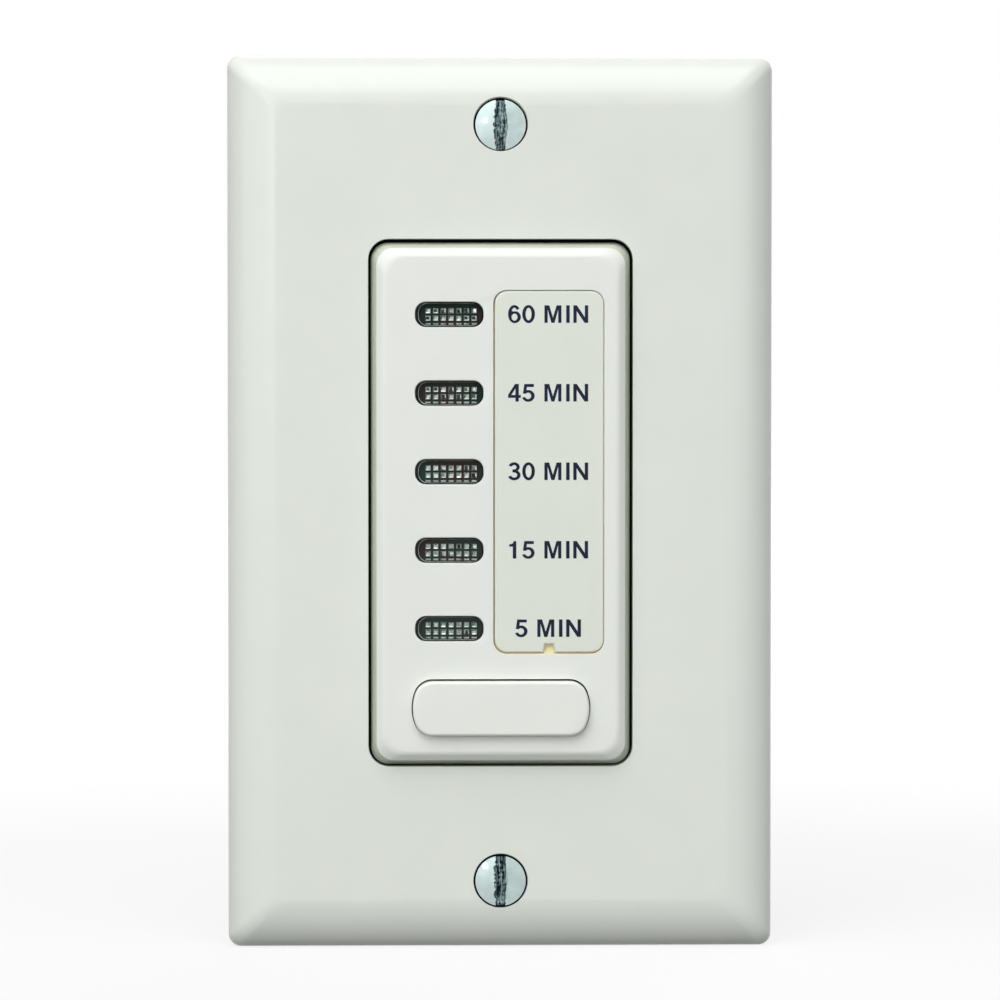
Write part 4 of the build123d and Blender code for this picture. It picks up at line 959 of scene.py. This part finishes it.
def build_box_screws():
    """Pan-head screws that hold the strap to the wall box: domed slotted heads on threaded shanks."""
    bm = bmesh.new()
    cutter = bmesh.new()
    low, high = corners("box_screws")
    head_radius = (high.x - low.x) / 2
    top, tip = -low.y, -high.y
    neck = top - box_head_height
    for centre in ((0, low.z + head_radius), (0, high.z - head_radius)):
        rings = []
        for inset, drop in reversed(quarter_round(box_head_dome, box_head_steps)):
            rings.append(ring(bm, circle(head_radius - inset, centre, turn_steps), top - drop))
        rings.append(ring(bm, circle(head_radius, centre, turn_steps), neck))
        flat(bm, rings[0])
        rings.append(ring(bm, circle(thread_radius, centre, turn_steps), neck))
        rings += thread_rings(bm, centre, neck, tip + thread_tip_length)
        rings.append(ring(bm, circle(thread_radius * box_tip_share, centre, turn_steps), tip))
        skin(bm, rings)
        flat(bm, rings[-1])
        add_straight_slot(cutter, centre[1], top)
    piece = make_piece("wall_box_screws", bm, ["zinc_steel", "slot_painted_shade"], ["box_screws"])
    cut_away(piece, cutter)


def add_straight_slot(bm, centre_z, top):
    """Slot block of a box screw, with its walls and floor in painted shade."""
    dark = 1
    half = box_slot_width / 2
    low_z, high_z = centre_z - box_slot_reach, centre_z + box_slot_reach
    outline = [(-half, low_z), (half, low_z), (half, high_z), (-half, high_z)]
    slot = [ring(bm, outline, level) for level in (top + cutter_margin, top - box_slot_depth)]
    skin(bm, slot, dark)
    bm.faces.new(slot[0])
    bm.faces.new(slot[1]).material_index = dark


def build_plate_screws():
    """The two oval-head screws in the face of the plate."""
    bm = bmesh.new()
    cutter = bmesh.new()
    for side in (-1, 1):
        build_screw_body(bm, (0, head_z(side)))
        add_ragged_slot(cutter, head_z(side))
    finishes = ["zinc_steel", "slot_painted_shade", "slot_burr_and_painted_shade"]
    piece = make_piece("cover_screws", bm, finishes, ["plate_screws"])
    cut_away(piece, cutter)


def add_ragged_slot(bm, centre_z):
    """Slot block whose walls and floor are ragged, as a pressed slot in soft plated steel; its core is
    painted shade, and its flanks ragged burrs with painted shade.
    """
    dark, burr = 1, 2
    crown = screw_rim_level + screw_crown
    top = crown + slot_cutter_rise
    shoulder = crown - slot_shoulder_depth
    floor = crown - screw_slot_depth
    length = 2 * screw_head_radius + cutter_margin
    core = screw_slot_width / 2
    mouth = screw_slot_mouth / 2
    flare = mouth + (mouth - core) * (top - crown) / (crown - shoulder)
    columns = ((-flare, top), (-core, shoulder), (-core, floor), (-core / 3, floor),
               (core / 3, floor), (core, floor), (core, shoulder), (flare, top))
    sections = []
    for k in range(slot_sections + 1):
        z = centre_z - length / 2 + length * k / slot_sections
        section = []
        for i, (x, level) in enumerate(columns):
            wobble = noise.noise(Vector((i * slot_noise_cells, z * slot_noise_cells, centre_z)))
            ragged_x = x + slot_wobble_x * wobble
            ragged_level = level + slot_wobble_level * wobble
            section.append(bm.verts.new((ragged_x, -ragged_level, z)))
        sections.append(section)
    for low, high in zip(sections, sections[1:]):
        for i in range(len(columns)):
            j = (i + 1) % len(columns)
            face = bm.faces.new((low[i], low[j], high[j], high[i]))
            face.material_index = burr if i in (0, len(columns) - 2) else dark
    bm.faces.new(sections[0])
    bm.faces.new(sections[-1])


def build_snap_dome():
    """Thin snap dome of the small switch, which its plunger presses flat in use; here it is built at rest,
    with a mesh of its own.
    """
    low, high = corners("tact_switch_dome")
    radius = (high.x - low.x) / 2
    centre = middle("tact_switch_dome")
    top, back = -low.y, -high.y
    bm = bmesh.new()
    outside, inside = [], []
    for k in range(1, dome_steps + 1):
        share = k / dome_steps
        level = top - (top - back - dome_sheet) * share ** 2
        outside.append(ring(bm, circle(radius * share, centre), level))
        inside.append(ring(bm, circle((radius - dome_sheet) * share, centre), level - dome_sheet))
    skin(bm, [*outside, *reversed(inside)])
    flat(bm, outside[0])
    flat(bm, inside[0])
    piece = make_piece("snap_dome", bm, ["strap_steel"], ["tact_switch_dome"])
    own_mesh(piece)


def cut_away(piece, cutter):
    """Cut a block's shape out of a piece; the cut faces take the materials that the block numbers."""
    bmesh.ops.recalc_face_normals(cutter, faces=cutter.faces)
    mesh = bpy.data.meshes.new("cutter")
    cutter.to_mesh(mesh)
    cutter.free()
    mesh.transform(Matrix.Scale(mm, 4))
    for slot in piece.material_slots:
        mesh.materials.append(slot.material)
    tool = bpy.data.objects.new("cutter", mesh)
    bpy.context.scene.collection.objects.link(tool)
    cut = piece.modifiers.new("cut", "BOOLEAN")
    cut.operation = "DIFFERENCE"
    cut.solver = "EXACT"
    cut.object = tool
    piece.modifiers.move(len(piece.modifiers) - 1, 0)
    piece.modifiers["flat_faces_first"].show_viewport = False
    graph = bpy.context.evaluated_depsgraph_get()
    result = bpy.data.meshes.new_from_object(piece.evaluated_get(graph))
    piece.modifiers.remove(cut)
    piece.modifiers["flat_faces_first"].show_viewport = True
    piece.data = result
    bpy.data.objects.remove(tool)
    result.set_sharp_from_angle(angle=math.radians(cut_crease))


build_wall_plate()
build_front_cover()
build_label()
build_button()
for name in window_names:
    build_lens(name)
    build_legend("legend_" + name, name + " MIN", middle("indicator_lens_" + name)[1] + legend_rise)
build_plate_screws()
build_box_screws()
build_snap_dome()


# Stage, lights and camera

def aim(thing, target):
    """Turn a lamp or camera towards a point."""
    thing.rotation_euler = (Vector(target) - thing.location).to_track_quat("-Z", "Y").to_euler()


def build_floor():
    """Pale floor that is white to the camera and still takes the object's shadow."""
    bm = bmesh.new()
    level = cad_bounds[0].z
    signs = ((-1, -1), (1, -1), (1, 1), (-1, 1))
    bm.faces.new([bm.verts.new((x * floor_half_side, y * floor_half_side, level)) for x, y in signs])
    mesh = bpy.data.meshes.new("floor")
    bm.to_mesh(mesh)
    bm.free()
    floor = bpy.data.objects.new("floor", mesh)
    bpy.context.scene.collection.objects.link(floor)
    mesh.materials.append(floor_material())


def floor_material():
    """Grey paint, with a glow that only seen rays meet and that grows with the distance."""
    material = bpy.data.materials.new("floor")
    material.use_nodes = True
    tree = material.node_tree
    tree.nodes.clear()
    output = tree.nodes.new("ShaderNodeOutputMaterial")
    paint = tree.nodes.new("ShaderNodeBsdfDiffuse")
    paint.inputs["Color"].default_value = floor_grey
    glow = tree.nodes.new("ShaderNodeEmission")
    both = tree.nodes.new("ShaderNodeAddShader")
    coordinates = tree.nodes.new("ShaderNodeTexCoord")
    distance = tree.nodes.new("ShaderNodeVectorMath")
    distance.operation = "LENGTH"
    tree.links.new(coordinates.outputs["Object"], distance.inputs[0])
    growing = spread(tree, distance.outputs["Value"], *floor_glow_strength, *floor_glow_distance)
    strength = math_node(tree, "MULTIPLY", growing, seen_directly(tree))
    tree.links.new(strength, glow.inputs["Strength"])
    tree.links.new(paint.outputs[0], both.inputs[0])
    tree.links.new(glow.outputs[0], both.inputs[1])
    tree.links.new(both.outputs[0], output.inputs["Surface"])
    return material


def math_node(tree, operation, first, second):
    """Result of an operation on two values."""
    node = tree.nodes.new("ShaderNodeMath")
    node.operation = operation
    tree.links.new(first, node.inputs[0])
    tree.links.new(second, node.inputs[1])
    return node.outputs[0]


def seen_directly(tree):
    """One for camera, glossy and transmission rays, and zero for all others."""
    rays = tree.nodes.new("ShaderNodeLightPath").outputs
    seen = math_node(tree, "MAXIMUM", rays["Is Camera Ray"], rays["Is Glossy Ray"])
    return math_node(tree, "MAXIMUM", seen, rays["Is Transmission Ray"])


def feed(tree, socket, value):
    """Link a socket to another node's output, or set it to a number."""
    if isinstance(value, bpy.types.NodeSocket):
        tree.links.new(value, socket)
    else:
        socket.default_value = value


def build_world():
    """White surroundings: plain to the camera, dimmer on its side when mirrored, and faint as light."""
    world = bpy.data.worlds.new("studio")
    bpy.context.scene.world = world
    world.use_nodes = True
    tree = world.node_tree
    back = tree.nodes["Background"]
    back.inputs["Color"].default_value = white
    coordinates = tree.nodes.new("ShaderNodeTexCoord")
    split = tree.nodes.new("ShaderNodeSeparateXYZ")
    tree.links.new(coordinates.outputs["Generated"], split.inputs[0])
    mirrored = spread(tree, split.outputs["Y"], front_gloss, 1, *gloss_fade)
    rays = tree.nodes.new("ShaderNodeLightPath")
    strength = world_ambient
    levels = {"Is Glossy Ray": mirrored, "Is Transmission Ray": mirrored, "Is Camera Ray": 1}
    for kind, level in levels.items():
        pick = tree.nodes.new("ShaderNodeMix")
        tree.links.new(rays.outputs[kind], pick.inputs[0])
        feed(tree, pick.inputs[2], strength)
        feed(tree, pick.inputs[3], level)
        strength = pick.outputs[0]
    tree.links.new(strength, back.inputs["Strength"])


def build_lamps():
    """Soft square lamps that the camera doesn't see, all aimed at the object."""
    for name, place, side, share in lamps:
        lamp = bpy.data.lights.new(name, "AREA")
        lamp.size = side
        lamp.energy = share * math.pi ** 2 * Vector(place).length_squared
        thing = bpy.data.objects.new(name, lamp)
        thing.location = place
        thing.visible_camera = False
        aim(thing, (0, 0, 0))
        bpy.context.scene.collection.objects.link(thing)


def build_camera():
    """Camera in front of the plate, where the photograph was taken from."""
    camera = bpy.data.cameras.new("camera")
    camera.lens = camera_lens
    camera.sensor_width = camera_sensor
    thing = bpy.data.objects.new("camera", camera)
    target = camera_target * mm
    thing.location = target + camera_offset * mm
    aim(thing, target)
    bpy.context.scene.collection.objects.link(thing)
    bpy.context.scene.camera = thing


build_floor()
build_world()
build_lamps()
build_camera()
bpy.context.scene.view_settings.view_transform = "Standard"
